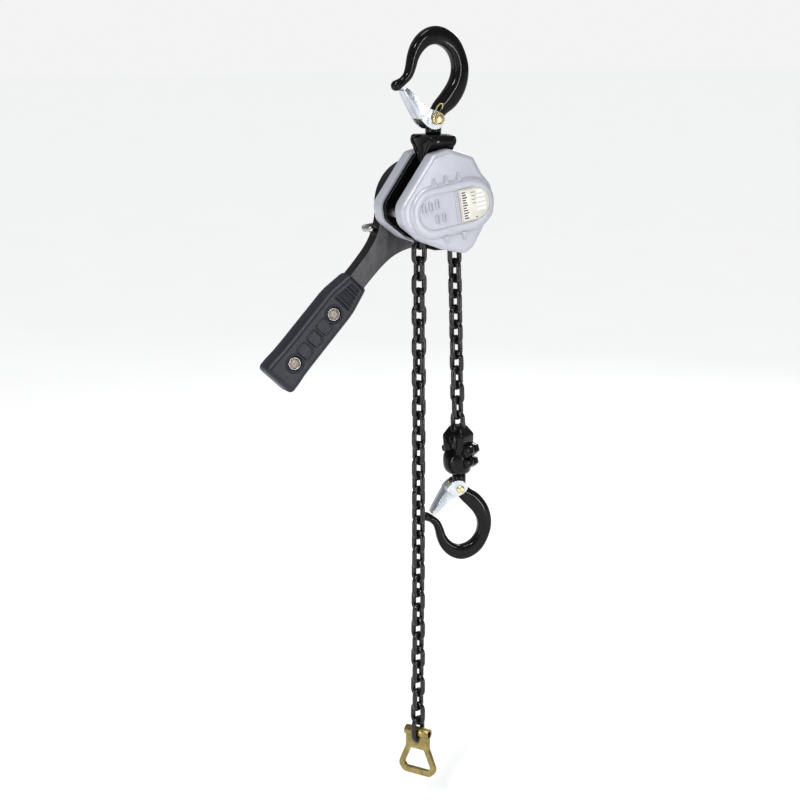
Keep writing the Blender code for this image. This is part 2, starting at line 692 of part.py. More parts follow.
def grip(plastic, steel, lever_axes):
    """Two moulded shells round the lever's tang, held by two screws."""
    channel = brick("grip.channel", (GRIP_START - 2, 28.6, -6.0), (168, 35.0, 6.0), parent=lever_axes)
    for name, face, split, sign in (
        ("grip_front_shell", GRIP_FRONT, GRIP_SPLIT - 0.2, 1),
        ("grip_rear_shell", GRIP_BACK, GRIP_SPLIT + 0.2, -1),
    ):
        rings = [
            along_y(grip_outline(-3.2), face), along_y(grip_outline(-0.6), face + sign * 2.6),
            along_y(grip_outline(), face + sign * 4.2), along_y(grip_outline(), split),
        ]
        shell = solid(name, rings, plastic, lever_axes)
        cut(shell, channel)
        for i, s in enumerate(GRIP_SCREWS):
            place = (s, 0)
            if sign > 0:
                cut(shell, rod(f"{name}.head_{i}", 5.3, GRIP_FRONT - 1, GRIP_FRONT + 2.6,
                               parent=lever_axes, centre=place))
            cut(shell, rod(f"{name}.hole_{i}", 2.4, GRIP_FRONT, 38.4, parent=lever_axes, centre=place,
                           steps=8))
    for i, s in enumerate(GRIP_SCREWS, 1):
        under_head = GRIP_FRONT + 2.2
        profile = [(5.0, GRIP_FRONT), (5.0, under_head), (2.0, under_head), (2.0, 38)]
        turned(f"grip_screw_{i}", profile, steel, lever_axes, (s, 0), 16)


def selector(grey, steel, lever_axes):
    """The change-over lever behind the head, its shaft and the pawl that the shaft carries."""
    pivot = axes("selector_axes", (SELECTOR_PIVOT[0], 0, SELECTOR_PIVOT[1]), parent=lever_axes)
    knob = (17.7, -16.5)
    turn = math.atan2(knob[1], knob[0])
    reach = math.hypot(*knob)
    arm = []
    for s, half in ((0, 4.2), (reach, 2.6)):
        for angle in (sweep(90, 270, 6) if s == 0 else sweep(-90, 90, 6)):
            u, w = s + half * math.cos(angle), half * math.sin(angle)
            arm.append((
                u * math.cos(turn) - w * math.sin(turn), u * math.sin(turn) + w * math.cos(turn),
            ))
    lever_arm = prism("selector_lever", arm, 38.8, 41.2, grey, pivot)
    post = turned("selector_lever.post", [(1.4, 29.0), (2.4, 30.2), (2.4, 39.5)], grey, pivot, knob, 12,
                  helper=True)
    shaft = rod("selector_lever.shaft", 2.4, 28.2, 39.5, parent=pivot, steps=8)
    join(lever_arm, post, shaft)
    nose = [(-9.0, -1.5), (-4, -4.6), (4.4, -4.0), (4.4, 4.0), (-4, 4.6), (-9.0, 1.5)]
    pawl = prism("drive_pawl", nose, 28.4, 33.0, steel, pivot)
    cut(pawl, rod("drive_pawl.bore", 2.7, 27, 34, parent=pivot, steps=8))


# ---------------------------------------------------------------- yoke, block and ring


def yoke(black, steel):
    """The top hook's funnel-shaped yoke, in two halves clamped by screws and the suspension pin."""
    levels = [
        (-65.0, 9.6, 15.6), (-66.4, 11.0, 17.0), (-68.8, 11.0, 17.0), (-74.0, 10.4, 9.6),
        (-76.0, 9.8, 7.8), (-92.5, 7.0, 7.8),
    ]
    roll = math.radians(BODY_ROLL)
    pin_x = SHEAVE_X + TOP_PIN[0] * math.cos(roll) - TOP_PIN[1] * math.sin(roll)
    pin_z = SHEAVE_Z + TOP_PIN[0] * math.sin(roll) + TOP_PIN[1] * math.cos(roll)
    for name, side in (("yoke_front_half", -1), ("yoke_rear_half", 1)):
        rings = []
        for z, half_x, half_y in levels:
            soft = 2.4
            near, far = side * 0.15, side * half_y
            rings.append([
                (-half_x, near, z), (half_x, near, z), (half_x, far - side * soft, z),
                (half_x - soft, far, z), (-half_x + soft, far, z), (-half_x, far - side * soft, z),
            ])
        half = solid(name, rings, black)
        hollow = [(5.3, -64), (5.3, -72.3), (7.0, -72.5), (7.0, -77.6)]
        cavity = turned(name + ".cavity", hollow, None, steps=16, place=along_z, helper=True)
        pin_hole = rod(name + ".pin_hole", 3.8, -20, 20, centre=(pin_x, pin_z), steps=16)
        cut(half, cavity, pin_hole)
        for i, x in enumerate((-8.4, 8.4)):
            cut(half, rod(f"{name}.screw_{i}", 1.5, -16, 16, centre=(x, -69), steps=8))
    for i, x in enumerate((-8.4, 8.4), 1):
        rod(f"yoke_screw_{i}", 1.2, -15.8, 15.8, steel, None, (x, -69), 12, helper=False)


def hook_block(black, steel, load_axes):
    """The lower block: two halves round the last link and the lower hook's head, and their bolts."""
    block_axes = axes("block_axes", (0, 0, 0), (0, 0, BLOCK_TURN), load_axes)
    top = -LOAD_LINKS * PITCH
    pin_z = top + 2.1
    bolt_z = top - 11
    bottom = top - 35.4
    reach = 20
    for name, side in (("block_left_half", -1), ("block_right_half", 1)):
        outline = rounded([
            (9.5, top - 20, 2), (9.5, top + 5, 3), (-9.5, top + 5, 3), (-9.5, top - 20, 2),
        ], 3)
        half = prism(name, outline, side * 0.15, side * 8.5, black, block_axes, place=along_x)
        barrel = turned(name + ".barrel", [
            (7.6, bottom), (9.6, bottom + 1.8), (10.4, bottom + 7), (10.2, bottom + 14),
            (7.5, bottom + 19),
        ], None, block_axes, steps=20, place=along_z, helper=True)
        other_half = sorted((-side * reach, side * 0.15))
        far_side = brick(name + ".far_side", (other_half[0], -reach, bottom - 9),
                         (other_half[1], reach, top + reach), parent=block_axes)
        link_room = brick(name + ".link_room", (-2.6, -7.4, top - 5.0), (2.6, 7.4, top + reach),
                          parent=block_axes)
        hollow = [(4.8, bottom - 2), (4.8, top - 29.7), (6.4, top - 29.5), (6.4, top - 24.2)]
        head_room = turned(name + ".head_room", hollow, None, block_axes, steps=16, place=along_z,
                           helper=True)
        join(half, barrel)
        cut(half, far_side, link_room, head_room)
        for i, z in enumerate((pin_z, bolt_z)):
            cut(half, rod(f"{name}.hole_{i}", 1.9, -12, 12, parent=block_axes, centre=(0, z), steps=8,
                          place=along_x))
    for name, z in (("chain_pin", pin_z), ("block_bolt", bolt_z)):
        profile = [(3.4, -11.4), (3.4, -8.8), (1.6, -8.8), (1.6, 8.8), (3.4, 8.8), (3.4, 11.6)]
        turned(name, profile, steel, block_axes, (0, z), 12, along_x)


def stop_ring(zinc):
    """A folded sheet handle: rolled tube on top, two layers below it, a hole for the end link."""
    ring_axes = axes("ring_axes", (SHEAVE_X - CHAIN_RADIUS, 0, RING_TUBE_Z), (0, 0, RING_TURN))
    half_plate = rounded([
        (-10.5, -1, 0.5), (-10.5, -13, 6), (-17.6, -30, 6), (-13, -36.5, 6), (13, -36.5, 6),
        (17.6, -30, 6),
        (10.5, -13, 6), (10.5, -1, 0.5),
    ], 3)
    plate = prism("stop_ring", half_plate, -2.0, 2.0, zinc, ring_axes)
    join(plate, rod("stop_ring.tube", 4.1, -10.75, 10.75, parent=ring_axes, steps=16, place=along_x))
    window = rounded([
        (-6.6, -14.4, 2), (-12.6, -28.6, 3), (-10.5, -31.4, 2), (10.5, -31.4, 2), (12.6, -28.6, 3),
        (6.6, -14.4, 2),
    ], 3)
    bore = rod("stop_ring.bore", 2.3, -12, 12, parent=ring_axes, steps=8, place=along_x)
    hole = brick("stop_ring.link_hole", (-2.6, -6, -9.6), (2.6, 6, -4.0), parent=ring_axes)
    opening = prism("stop_ring.window", window, -5, 5, None, ring_axes, helper=True)
    cut(plate, opening, bore, hole)


def main():
    clear_scene()
    black = finish("black_paint", (0.02, 0.02, 0.022), 0.25, 0.3)
    chain_black = finish("black_oxide", (0.03, 0.028, 0.03), 0.3, 0.8)
    silver = finish("silver_paint", (0.6, 0.61, 0.66), 0.4, 0.3)
    zinc = finish("bright_zinc", (0.7, 0.73, 0.76), 0.3, 1.0)
    brass = finish("yellow_zinc", (0.6, 0.45, 0.17), 0.35, 1.0)
    steel = finish("steel", (0.5, 0.49, 0.47), 0.35, 1.0)
    bronze = finish("bronze", (0.55, 0.38, 0.2), 0.4, 1.0)
    lining = finish("brake_lining", (0.16, 0.12, 0.09), 0.8, 0.0)
    graphite = finish("graphite_paint", (0.08, 0.08, 0.085), 0.45, 0.5)
    plastic = finish("dark_plastic", (0.035, 0.037, 0.045), 0.6, 0.0)
    cream = finish("label_cream", (0.75, 0.71, 0.6), 0.5, 0.0)

    sheave_place = (SHEAVE_X, 0, SHEAVE_Z)
    body_axes = axes("body_axes", sheave_place, (0, -BODY_ROLL, 0))
    level_axes = axes("level_axes", sheave_place)
    lever_axes = axes("lever_axes", sheave_place, (0, LEVER_TURN, 0))
    load_axes = axes("load_axes", (SHEAVE_X + CHAIN_RADIUS, 0, LOAD_TOP), (0, -LOAD_LEAN, 0))
    lower_drop = (LOWER_CROWN - LOAD_TOP) / math.cos(math.radians(LOAD_LEAN))
    lower_axes = axes("lower_hook_axes", (0, 0, lower_drop), (180, 0, LOWER_TURN), load_axes)

    hook("top_hook", 1.0, black, None)
    latch("top", 1.0, zinc, brass, None)
    yoke(black, steel)
    side_plates(black, bronze, body_axes)
    stays(steel, body_axes)
    covers(silver, body_axes)
    rating_label(cream, body_axes)
    top_pin(steel, body_axes)
    chain_stripper(black, level_axes)
    load_sheave(steel, chain_black, level_axes, body_axes)
    intermediate_gears(steel, body_axes)
    drive_train(steel, black, lining, body_axes)
    brake_pawls(steel, body_axes)
    lever(graphite, steel, lever_axes)
    grip(plastic, steel, lever_axes)
    selector(zinc, steel, lever_axes)
    tail_side(chain_black)
    load_side(chain_black, load_axes)
    hook_block(black, steel, load_axes)
    hook("lower_hook", LOWER_SCALE, black, lower_axes)
    latch("lower", LOWER_SCALE, zinc, brass, lower_axes)
    stop_ring(brass)


main()
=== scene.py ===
"""Looks of the lever chain hoist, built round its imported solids.

Sizes are in millimetres, and MM scales them once. The lights, the floor and the camera are in metres.
"""

import json
import math

import bmesh
import bpy
from mathutils import Euler, Matrix, Vector


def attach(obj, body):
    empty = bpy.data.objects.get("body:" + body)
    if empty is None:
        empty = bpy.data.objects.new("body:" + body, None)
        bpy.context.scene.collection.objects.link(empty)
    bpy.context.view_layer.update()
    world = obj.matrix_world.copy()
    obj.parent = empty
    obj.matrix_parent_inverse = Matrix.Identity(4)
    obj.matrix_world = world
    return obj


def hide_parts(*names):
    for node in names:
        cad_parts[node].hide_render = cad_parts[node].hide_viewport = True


MM = 0.001
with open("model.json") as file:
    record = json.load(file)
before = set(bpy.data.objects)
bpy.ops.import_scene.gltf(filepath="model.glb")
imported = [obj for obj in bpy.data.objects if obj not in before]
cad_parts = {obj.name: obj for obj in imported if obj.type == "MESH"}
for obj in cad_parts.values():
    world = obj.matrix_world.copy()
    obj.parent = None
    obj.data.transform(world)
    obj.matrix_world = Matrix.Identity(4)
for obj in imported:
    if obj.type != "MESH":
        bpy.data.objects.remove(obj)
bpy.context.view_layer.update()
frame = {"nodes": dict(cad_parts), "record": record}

# ---------------------------------------------------------------- places shared with the solids


def spot(place, turn=(0, 0, 0), parent=None):
    """Local axes as a matrix in millimetres."""
    here = Matrix.Translation(place) @ Euler([math.radians(a) for a in turn]).to_matrix().to_4x4()
    return parent @ here if parent else here


SHEAVE = (3.6, 0, -118.0)
TAIL_X = -11.7
LOAD_X = 18.9
TAIL_TOP = -147.1
LOAD_TOP = -150.5
LOAD_LEAN = 1.8
LOWER_CROWN = -388.3
PITCH = 12.0
WIRE = 4.0
TAIL_LINKS, TAIL_TWIST = 32, 0.95
LOAD_LINKS, LOAD_TWIST, LOAD_START_TURN = 12, 1.7, 9.0
WRAP_RADIUS = 14.5
WORLD = spot((0, 0, 0))
LEVEL = spot(SHEAVE)
BODY = spot(SHEAVE, (0, -9.5, 0))
LEVER = spot(SHEAVE, (0, 133.3, 0))
LOAD = spot((LOAD_X, 0, LOAD_TOP), (0, -LOAD_LEAN, 0))
BLOCK = spot((0, 0, 0), (0, 0, 27.7), LOAD)
LOWER = spot((0, 0, (LOWER_CROWN - LOAD_TOP) / math.cos(math.radians(LOAD_LEAN))), (180, 0, -14.0), LOAD)
RING = spot((TAIL_X, 0, -541.0), (0, 0, -60.0))
SELECTOR = spot((24, 0, 0), (0, 0, 0), LEVER)
LOWER_SCALE = 0.893

# ---------------------------------------------------------------- materials


def material(name, colour, roughness, metallic=0.0, coat=0.0, coat_roughness=0.1, specular=0.5):
    made = bpy.data.materials.new(name)
    made.use_nodes = True
    shader = made.node_tree.nodes["Principled BSDF"]
    shader.inputs["Base Color"].default_value = (*colour, 1.0)
    shader.inputs["Roughness"].default_value = roughness
    shader.inputs["Metallic"].default_value = metallic
    shader.inputs["Coat Weight"].default_value = coat
    shader.inputs["Coat Roughness"].default_value = coat_roughness
    shader.inputs["Specular IOR Level"].default_value = specular
    return made


def node(mat, kind, **inputs):
    made = mat.node_tree.nodes.new(kind)
    for name, value in inputs.items():
        made.inputs[name].default_value = value
    return made


def noise(mat, scale, detail=3.0, roughness=0.55, stretch=(1, 1, 1)):
    """Noise over the object's own metres, so its grain has a real size."""
    links = mat.node_tree.links
    where = node(mat, "ShaderNodeTexCoord")
    mapping = node(mat, "ShaderNodeMapping")
    mapping.inputs["Scale"].default_value = stretch
    made = node(mat, "ShaderNodeTexNoise", Scale=scale, Detail=detail, Roughness=roughness)
    links.new(where.outputs["Object"], mapping.inputs["Vector"])
    links.new(mapping.outputs["Vector"], made.inputs["Vector"])
    return made.outputs["Fac"]


def spread(mat, value, low, high, target, start=0.3, end=0.7):
    """Drives a shader socket from a noise value between low and high, which are numbers or colours."""
    ramp = node(mat, "ShaderNodeValToRGB")
    ramp.color_ramp.elements[0].position = start
    ramp.color_ramp.elements[1].position = end
    for element, shade in zip(ramp.color_ramp.elements, (low, high)):
        element.color = (*shade, 1.0) if isinstance(shade, tuple) else (shade, shade, shade, 1.0)
    mat.node_tree.links.new(value, ramp.inputs["Fac"])
    shader = mat.node_tree.nodes["Principled BSDF"]
    mat.node_tree.links.new(ramp.outputs["Color"], shader.inputs[target])


def relief(mat, *layers):
    """Bump from (noise value, depth in metres, strength) layers, one on top of another."""
    links = mat.node_tree.links
    last = None
    for value, depth, strength in layers:
        bump = node(mat, "ShaderNodeBump", Strength=strength, Distance=depth)
        links.new(value, bump.inputs["Height"])
        if last:
            links.new(last.outputs["Normal"], bump.inputs["Normal"])
        last = bump
    links.new(last.outputs["Normal"], mat.node_tree.nodes["Principled BSDF"].inputs["Normal"])


def materials():
    """Every finish by its short name. A spread replaces the plain value that its shader starts with."""
    m = {}
    black = m["black"] = material("black_paint", (0.003, 0.003, 0.0035), 0.1, specular=0.2)
    spread(black, noise(black, 160), (0.0020, 0.0020, 0.0025), (0.0050, 0.0050, 0.0056), "Base Color")
    spread(black, noise(black, 90, 4), 0.06, 0.15, "Roughness")
    relief(black, (noise(black, 120, 2), 0.0004, 0.10), (noise(black, 1500, 2), 0.00005, 0.06))

    chain = m["chain"] = material("black_oxide", (0.010, 0.008, 0.010), 0.15, 0.35, specular=0.6)
    mottle = noise(chain, 260, 4)
    spread(chain, mottle, (0.005, 0.0045, 0.0055), (0.024, 0.019, 0.022), "Base Color", 0.35, 0.75)
    spread(chain, noise(chain, 420, 4), 0.06, 0.17, "Roughness")
    relief(chain, (noise(chain, 700, 3), 0.0002, 0.18))

    silver = m["silver"] = material("silver_paint", (0.55, 0.56, 0.62), 0.42, 0.25, 0.2, 0.25)
    spread(silver, noise(silver, 60, 3), (0.42, 0.43, 0.485), (0.47, 0.48, 0.535), "Base Color")
    spread(silver, noise(silver, 700, 3), 0.34, 0.48, "Roughness")
    relief(silver, (noise(silver, 900, 3), 0.00008, 0.2), (noise(silver, 3500, 1), 0.00003, 0.15))

    zinc = m["zinc"] = material("bright_zinc", (0.66, 0.69, 0.73), 0.24, 1.0)
    mottle = noise(zinc, 70, 5, 0.6, (1, 3, 0.6))
    spread(zinc, mottle, (0.40, 0.44, 0.50), (0.72, 0.75, 0.79), "Base Color")
    spread(zinc, noise(zinc, 240, 4, 0.6, (1, 4, 1)), 0.16, 0.4, "Roughness")
    relief(
        zinc, (noise(zinc, 130, 4, 0.6, (1, 3, 0.5)), 0.0009, 0.3), (noise(zinc, 900, 2), 0.0001, 0.2)
    )

    yellow = m["yellow"] = material("yellow_zinc", (0.42, 0.3, 0.1), 0.3, 1.0)
    spread(yellow, noise(yellow, 120, 5), (0.17, 0.135, 0.055), (0.42, 0.33, 0.12), "Base Color")
    spread(yellow, noise(yellow, 300, 4), 0.2, 0.46, "Roughness")
    relief(yellow, (noise(yellow, 300, 4), 0.0005, 0.3), (noise(yellow, 1800, 2), 0.0001, 0.2))

    gold = m["gold"] = material("yellow_zinc_light", (0.78, 0.63, 0.26), 0.26, 1.0)
    spread(gold, noise(gold, 350, 4), (0.62, 0.42, 0.24), (0.95, 0.86, 0.42), "Base Color")
    relief(gold, (noise(gold, 900, 3), 0.0003, 0.3))

    steel = m["steel"] = material("machined_steel", (0.42, 0.41, 0.4), 0.3, 1.0)
    spread(steel, noise(steel, 500, 4), (0.33, 0.32, 0.31), (0.56, 0.55, 0.53), "Base Color")
    relief(steel, (noise(steel, 1500, 3), 0.0001, 0.3))

    dull = m["dull"] = material("stained_steel", (0.2, 0.17, 0.14), 0.4, 1.0)
    spread(dull, noise(dull, 500, 4), (0.13, 0.11, 0.09), (0.34, 0.29, 0.25), "Base Color")
    relief(dull, (noise(dull, 1200, 4), 0.0003, 0.5))

    graphite = m["graphite"] = material("graphite_paint", (0.05, 0.05, 0.053), 0.5, 0.25, specular=0.4)
    mottle = noise(graphite, 150, 4, 0.6, (1, 1, 0.6))
    spread(graphite, mottle, (0.045, 0.045, 0.049), (0.088, 0.088, 0.093), "Base Color")
    spread(graphite, noise(graphite, 500, 4), 0.40, 0.60, "Roughness")
    relief(graphite, (noise(graphite, 260, 4), 0.0003, 0.2), (noise(graphite, 2200, 2), 0.00008, 0.25))

    plastic = m["plastic"] = material("moulded_plastic", (0.012, 0.014, 0.02), 0.4, specular=0.34)
    mottle = noise(plastic, 130, 3)
    spread(plastic, mottle, (0.0085, 0.0105, 0.0165), (0.014, 0.0165, 0.025), "Base Color")
    spread(plastic, noise(plastic, 900, 3), 0.34, 0.48, "Roughness")
    relief(plastic, (noise(plastic, 2600, 2), 0.00006, 0.25))

    cream = m["cream"] = material("label_film", (0.7, 0.67, 0.6), 0.35, 0.0, 0.4, 0.12)
    spread(cream, noise(cream, 120, 3), (0.60, 0.58, 0.52), (0.72, 0.70, 0.635), "Base Color")
    relief(cream, (noise(cream, 300, 2), 0.0002, 0.15))
    white = m["white"] = material("label_white", (0.85, 0.85, 0.84), 0.35, 0.0, 0.4, 0.12)
    spread(white, noise(white, 200, 2), (0.8, 0.8, 0.79), (0.88, 0.88, 0.87), "Base Color")
    ink = m["ink"] = material("label_ink", (0.03, 0.03, 0.035), 0.4, 0.0, 0.3, 0.12)
    spread(ink, noise(ink, 800, 2), (0.02, 0.02, 0.024), (0.07, 0.07, 0.075), "Base Color")

    bronze = m["bronze"] = material("sintered_bronze", (0.5, 0.33, 0.16), 0.4, 1.0)
    spread(bronze, noise(bronze, 900, 4), (0.36, 0.23, 0.11), (0.58, 0.4, 0.2), "Base Color")
    lining = m["lining"] = material("brake_lining", (0.12, 0.09, 0.07), 0.85)
    spread(lining, noise(lining, 1500, 4), (0.06, 0.045, 0.035), (0.2, 0.15, 0.1), "Base Color")
    relief(lining, (noise(lining, 2000, 3), 0.0002, 0.5))
    return m


M = materials()
CAD_FINISH = {
    "black_paint": "black", "chain_black": "chain", "silver_paint": "silver", "bright_zinc": "zinc",
    "yellow_zinc": "yellow", "steel": "steel", "bronze": "bronze", "brake_lining": "lining",
    "graphite_paint": "graphite", "dark_plastic": "plastic", "label_cream": "cream",
}


def paint_solids():
    """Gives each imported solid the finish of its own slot."""
    for part in frame["record"]["subparts"]:
        thing = frame["nodes"][part["node"]]
        thing.data.materials.clear()
        thing.data.materials.append(M[CAD_FINISH[part["material_slot"]]])


# ---------------------------------------------------------------- mesh helpers


def circle(radius, steps, start=0.0):
    turns = [start + 2 * math.pi * i / steps for i in range(steps)]
    return [(radius * math.cos(a), radius * math.sin(a)) for a in turns]


def sweep(first, last, steps):
    return [math.radians(first + (last - first) * i / steps) for i in range(steps + 1)]


def along_x(outline, x, centre=(0, 0)):
    return [(x, centre[0] + v, centre[1] + w) for v, w in outline]


def along_y(outline, y, centre=(0, 0)):
    return [(centre[0] + u, y, centre[1] + w) for u, w in outline]


def rounded(corners, steps=6):
    """A polygon outline with its corners (u, w, radius) rounded by arcs."""
    points = []
    for i, (u, w, radius) in enumerate(corners):
        here = Vector((u, w))
        before = (Vector(corners[i - 1][:2]) - here).normalized()
        after = (Vector(corners[(i + 1) % len(corners)][:2]) - here).normalized()
        half = before.angle(after) / 2
        middle = here + (before + after).normalized() * radius / math.sin(half)
        first = here + before * radius / math.tan(half) - middle
        last = here + after * radius / math.tan(half) - middle
        start = math.atan2(first.y, first.x)
        turn = math.remainder(math.atan2(last.y, last.x) - start, 2 * math.pi)
        for step in range(steps + 1):
            angle = start + turn * step / steps
            points.append((middle.x + radius * math.cos(angle), middle.y + radius * math.sin(angle)))
    return points


def inset(outline, distance):
    """The outline moved inwards by distance, for a counter-clockwise outline."""
    moved = []
    for i, point in enumerate(outline):
        along = (Vector(outline[(i + 1) % len(outline)]) - Vector(outline[i - 1])).normalized()
        moved.append(tuple(Vector(point) + Vector((-along.y, along.x)) * distance))
    return moved


def stadium(half_length, radius, steps=14):
    """An oval of two half-rounds joined by straight sides."""
    reach = half_length - radius
    right = [(reach + radius * math.cos(a), radius * math.sin(a)) for a in sweep(-90, 90, steps)]
    left = [(-reach + radius * math.cos(a), radius * math.sin(a)) for a in sweep(90, 270, steps)]
    return right + left


def spline(points, steps):
    """A Catmull-Rom curve through points of any dimension."""
    curve = []
    last = len(points) - 1
    for i in range(last):
        p = [Vector(points[max(0, min(last, i + k))]) for k in (-1, 0, 1, 2)]
        for step in range(steps):
            t = step / steps
            curve.append(0.5 * (
                2 * p[1] + (p[2] - p[0]) * t + (2 * p[0] - 5 * p[1] + 4 * p[2] - p[3]) * t * t
                + (3 * p[1] - p[0] - 3 * p[2] + p[3]) * t ** 3
            ))
    return curve + [Vector(points[-1])]


class Piece:
    """One visible piece: shapes are added in millimetres, then it is made to ride on its body."""

    def __init__(self, name, finish, body, place=WORLD, slot=None):
        self.name, self.finish, self.body, self.place, self.slot = name, finish, body, place, slot
        self.mesh = bmesh.new()

    def loft(self, rings, closed=False, caps=(True, True)):
        """Skins rings of equally many points; closed joins the last ring to the first."""
        rows = [[self.mesh.verts.new(Vector(p)) for p in ring] for ring in rings]
        pairs = list(zip(rows, rows[1:]))
        if closed:
            pairs.append((rows[-1], rows[0]))
        for first, second in pairs:
            for i in range(len(first)):
                j = (i + 1) % len(first)
                self.mesh.faces.new((first[i], first[j], second[j], second[i]))
        if not closed:
            for row, capped in zip((rows[0], rows[-1]), caps):
                if capped:
                    self.mesh.faces.new(row)

    def lathe(self, profile, centre=(0, 0), steps=32, place=along_y):
        """A turned shape: profile lists (radius, position along the axis)."""
        self.loft([place(circle(radius, steps), s, centre) for radius, s in profile])

    def prism(self, outline, start, end, centre=(0, 0), place=along_y, edge=0.0):
        """A prism with its rims softened by edge, for a counter-clockwise outline."""
        sign = 1 if end > start else -1
        rings = [place(outline, start, centre), place(outline, end, centre)]
        if edge:
            small, middle = inset(outline, edge), inset(outline, edge * 0.3)
            rings = [
                place(small, start, centre), place(middle, start + sign * edge * 0.3, centre),
                place(outline, start + sign * edge, centre), place(outline, end - sign * edge, centre),
                place(middle, end - sign * edge * 0.3, centre), place(small, end, centre),
            ]
        self.loft(rings)

    def brick(self, low, high, edge=0.0):
        """A box between two corners."""
        outline = [(low[0], low[2]), (high[0], low[2]), (high[0], high[2]), (low[0], high[2])]
        self.prism(outline, low[1], high[1], edge=edge)

    def tube(self, path, radius, sides=10, closed=False):
        """A round wire along path."""
        rings = []
        count = len(path)
        up = Vector((0.1, 0.93, 0.31)).normalized()
        for i, point in enumerate(path):
            after = path[(i + 1) % count] if closed else path[min(count - 1, i + 1)]
            before = path[i - 1] if closed or i else path[0]
            along = (Vector(after) - Vector(before)).normalized()
            side = along.cross(up).normalized()
            up = side.cross(along).normalized()
            rings.append([Vector(point) + side * u + up * v for u, v in circle(radius, sides)])
        self.loft(rings, closed)

    def make(self, replaces=(), soft=0.0, angle=35.0):
        """Ends the piece: soft is a bevel width in millimetres, angle the least that stays sharp."""
        bmesh.ops.recalc_face_normals(self.mesh, faces=self.mesh.faces)
        self.mesh.transform(Matrix.Scale(MM, 4) @ self.place)
        data = bpy.data.meshes.new(self.name)
        self.mesh.to_mesh(data)
        self.mesh.free()
        data.materials.append(M[self.finish])
        data.shade_smooth()
        data.set_sharp_from_angle(angle=math.radians(angle))
        made = bpy.data.objects.new(self.name, data)
        bpy.context.scene.collection.objects.link(made)
        if soft:
            bevel = made.modifiers.new("soft edges", "BEVEL")
            bevel.width = soft * MM
            bevel.segments = 2
            bevel.limit_method = "ANGLE"
            bevel.angle_limit = math.radians(angle)
            bevel.harden_normals = True
        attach(made, self.body)
        if replaces:
            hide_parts(*replaces)


# ---------------------------------------------------------------- chain


def link_path(centre, turn, up=PITCH / 2, down=PITCH / 2, bend=4.5, steps=9):
    """The wire's centre line in a link turned about its length; up and down reach to its neighbours."""
    across = Vector((math.cos(math.radians(turn)), math.sin(math.radians(turn)), 0))
    path = []
    for angle in sweep(0, 180, steps):
        path.append((bend * math.cos(angle), up + WIRE / 2 - bend + bend * math.sin(angle)))
    for angle in sweep(180, 360, steps):
        path.append((bend * math.cos(angle), -down - WIRE / 2 + bend + bend * math.sin(angle)))
    return [Vector(centre) + across * x + Vector((0, 0, z)) for x, z in path]


def strand(name, body, node_name, x, top, count, start_turn, twist, place=WORLD, wide_end=False):
    """Links hanging from top, each turned a little further; wide_end adds the stop ring's long link."""
    piece = Piece(name, "chain", body, place, "chain_black")
    slack = 0.02
    reach = PITCH / 2 - slack
    for k in range(count):
        turn = start_turn + twist * k + 90 * (k % 2)
        centre = (x, 0, top - PITCH / 2 - PITCH * k)
        piece.tube(link_path(centre, turn, reach, reach), WIRE / 2, 14, True)
    if wide_end:
        room = 14.6
        centre = (x, 0, top - PITCH * count - room / 2)
        path = link_path(centre, start_turn + twist * count, room / 2 - slack, room / 2, 6.6, 14)
        piece.tube(path, WIRE / 2, 14, True)
    piece.make([node_name])


def chains():
    strand(
        "tail_links", "tail", "tail_chain", TAIL_X, TAIL_TOP, TAIL_LINKS, 0, TAIL_TWIST, wide_end=True,
    )
    strand(
        "tail_first_links", "tail_feed", "tail_top_link", TAIL_X, TAIL_TOP + 2 * PITCH, 2,
        -2 * TAIL_TWIST, TAIL_TWIST,
    )
    strand("load_links", "load", "load_chain", 0, 0, LOAD_LINKS, LOAD_START_TURN, LOAD_TWIST, LOAD)
    strand(
        "load_first_links", "load_feed", "load_top_link", LOAD_X, LOAD_TOP + 2 * PITCH, 2,
        LOAD_START_TURN, 0,
    )
    piece = Piece("sheave_links", "chain", "sheave", LEVEL, "chain_black")
    for angle, turn in ((45, 0), (90, 90), (135, 0)):
        a = math.radians(angle)
        out, tangent = Vector((math.cos(a), 0, math.sin(a))), Vector((-math.sin(a), 0, math.cos(a)))
        path = [
            out * (WRAP_RADIUS + p.x) + Vector((0, p.y, 0)) + tangent * p.z
            for p in link_path((0, 0, 0), turn)
        ]
        piece.tube(path, WIRE / 2, 12, True)
    piece.make(["wrapped_links"])


# ---------------------------------------------------------------- hooks and latches

# Rows of (x, z, half-width in the hook's plane, half-width across it), from the head up to the tip.
HOOK_LINE = [
    (0, -77, 6.6, 6.6), (0, -73.2, 6.6, 6.6), (0, -72.9, 4.9, 4.9), (0, -65.3, 4.9, 4.9),
    (0, -64.9, 5.5, 5.5), (0, -64.4, 5.9, 5.9), (0, -61.5, 6.1, 6.1),
    (0.1, -58.3, 5.9, 5.7), (0.9, -53, 5.6, 5.2), (5.6, -46, 6.6, 5.4),
    (12.7, -39.6, 7.7, 5.8), (18.5, -31.9, 7.5, 6.0), (21.8, -23.4, 6.9, 6.0), (22.2, -15, 6.5, 5.9),
    (19.8, -6.5, 6.2, 5.8), (15, 0.8, 6.7, 5.8), (8.2, 5.6, 7.1, 5.8), (0.3, 7.2, 7.1, 5.6),
    (-7.5, 4.6, 6.3, 5.2), (-13.6, -1.2, 5.4, 4.8), (-17.3, -8.3, 4.5, 4.4),
    (-19.2, -15.5, 4.0, 4.0), (-21.6, -21.6, 3.6, 3.6), (-25.8, -25.8, 3.3, 3.3),
    (-29.0, -27.8, 3.7, 3.7), (-31.6, -29.1, 3.9, 3.9), (-33.6, -30.1, 3.0, 3.0),
    (-34.7, -30.6, 1.4, 1.4),
]
HEAD_ROWS = 7
HOOK_PIVOT = (-1.0, -53.0)


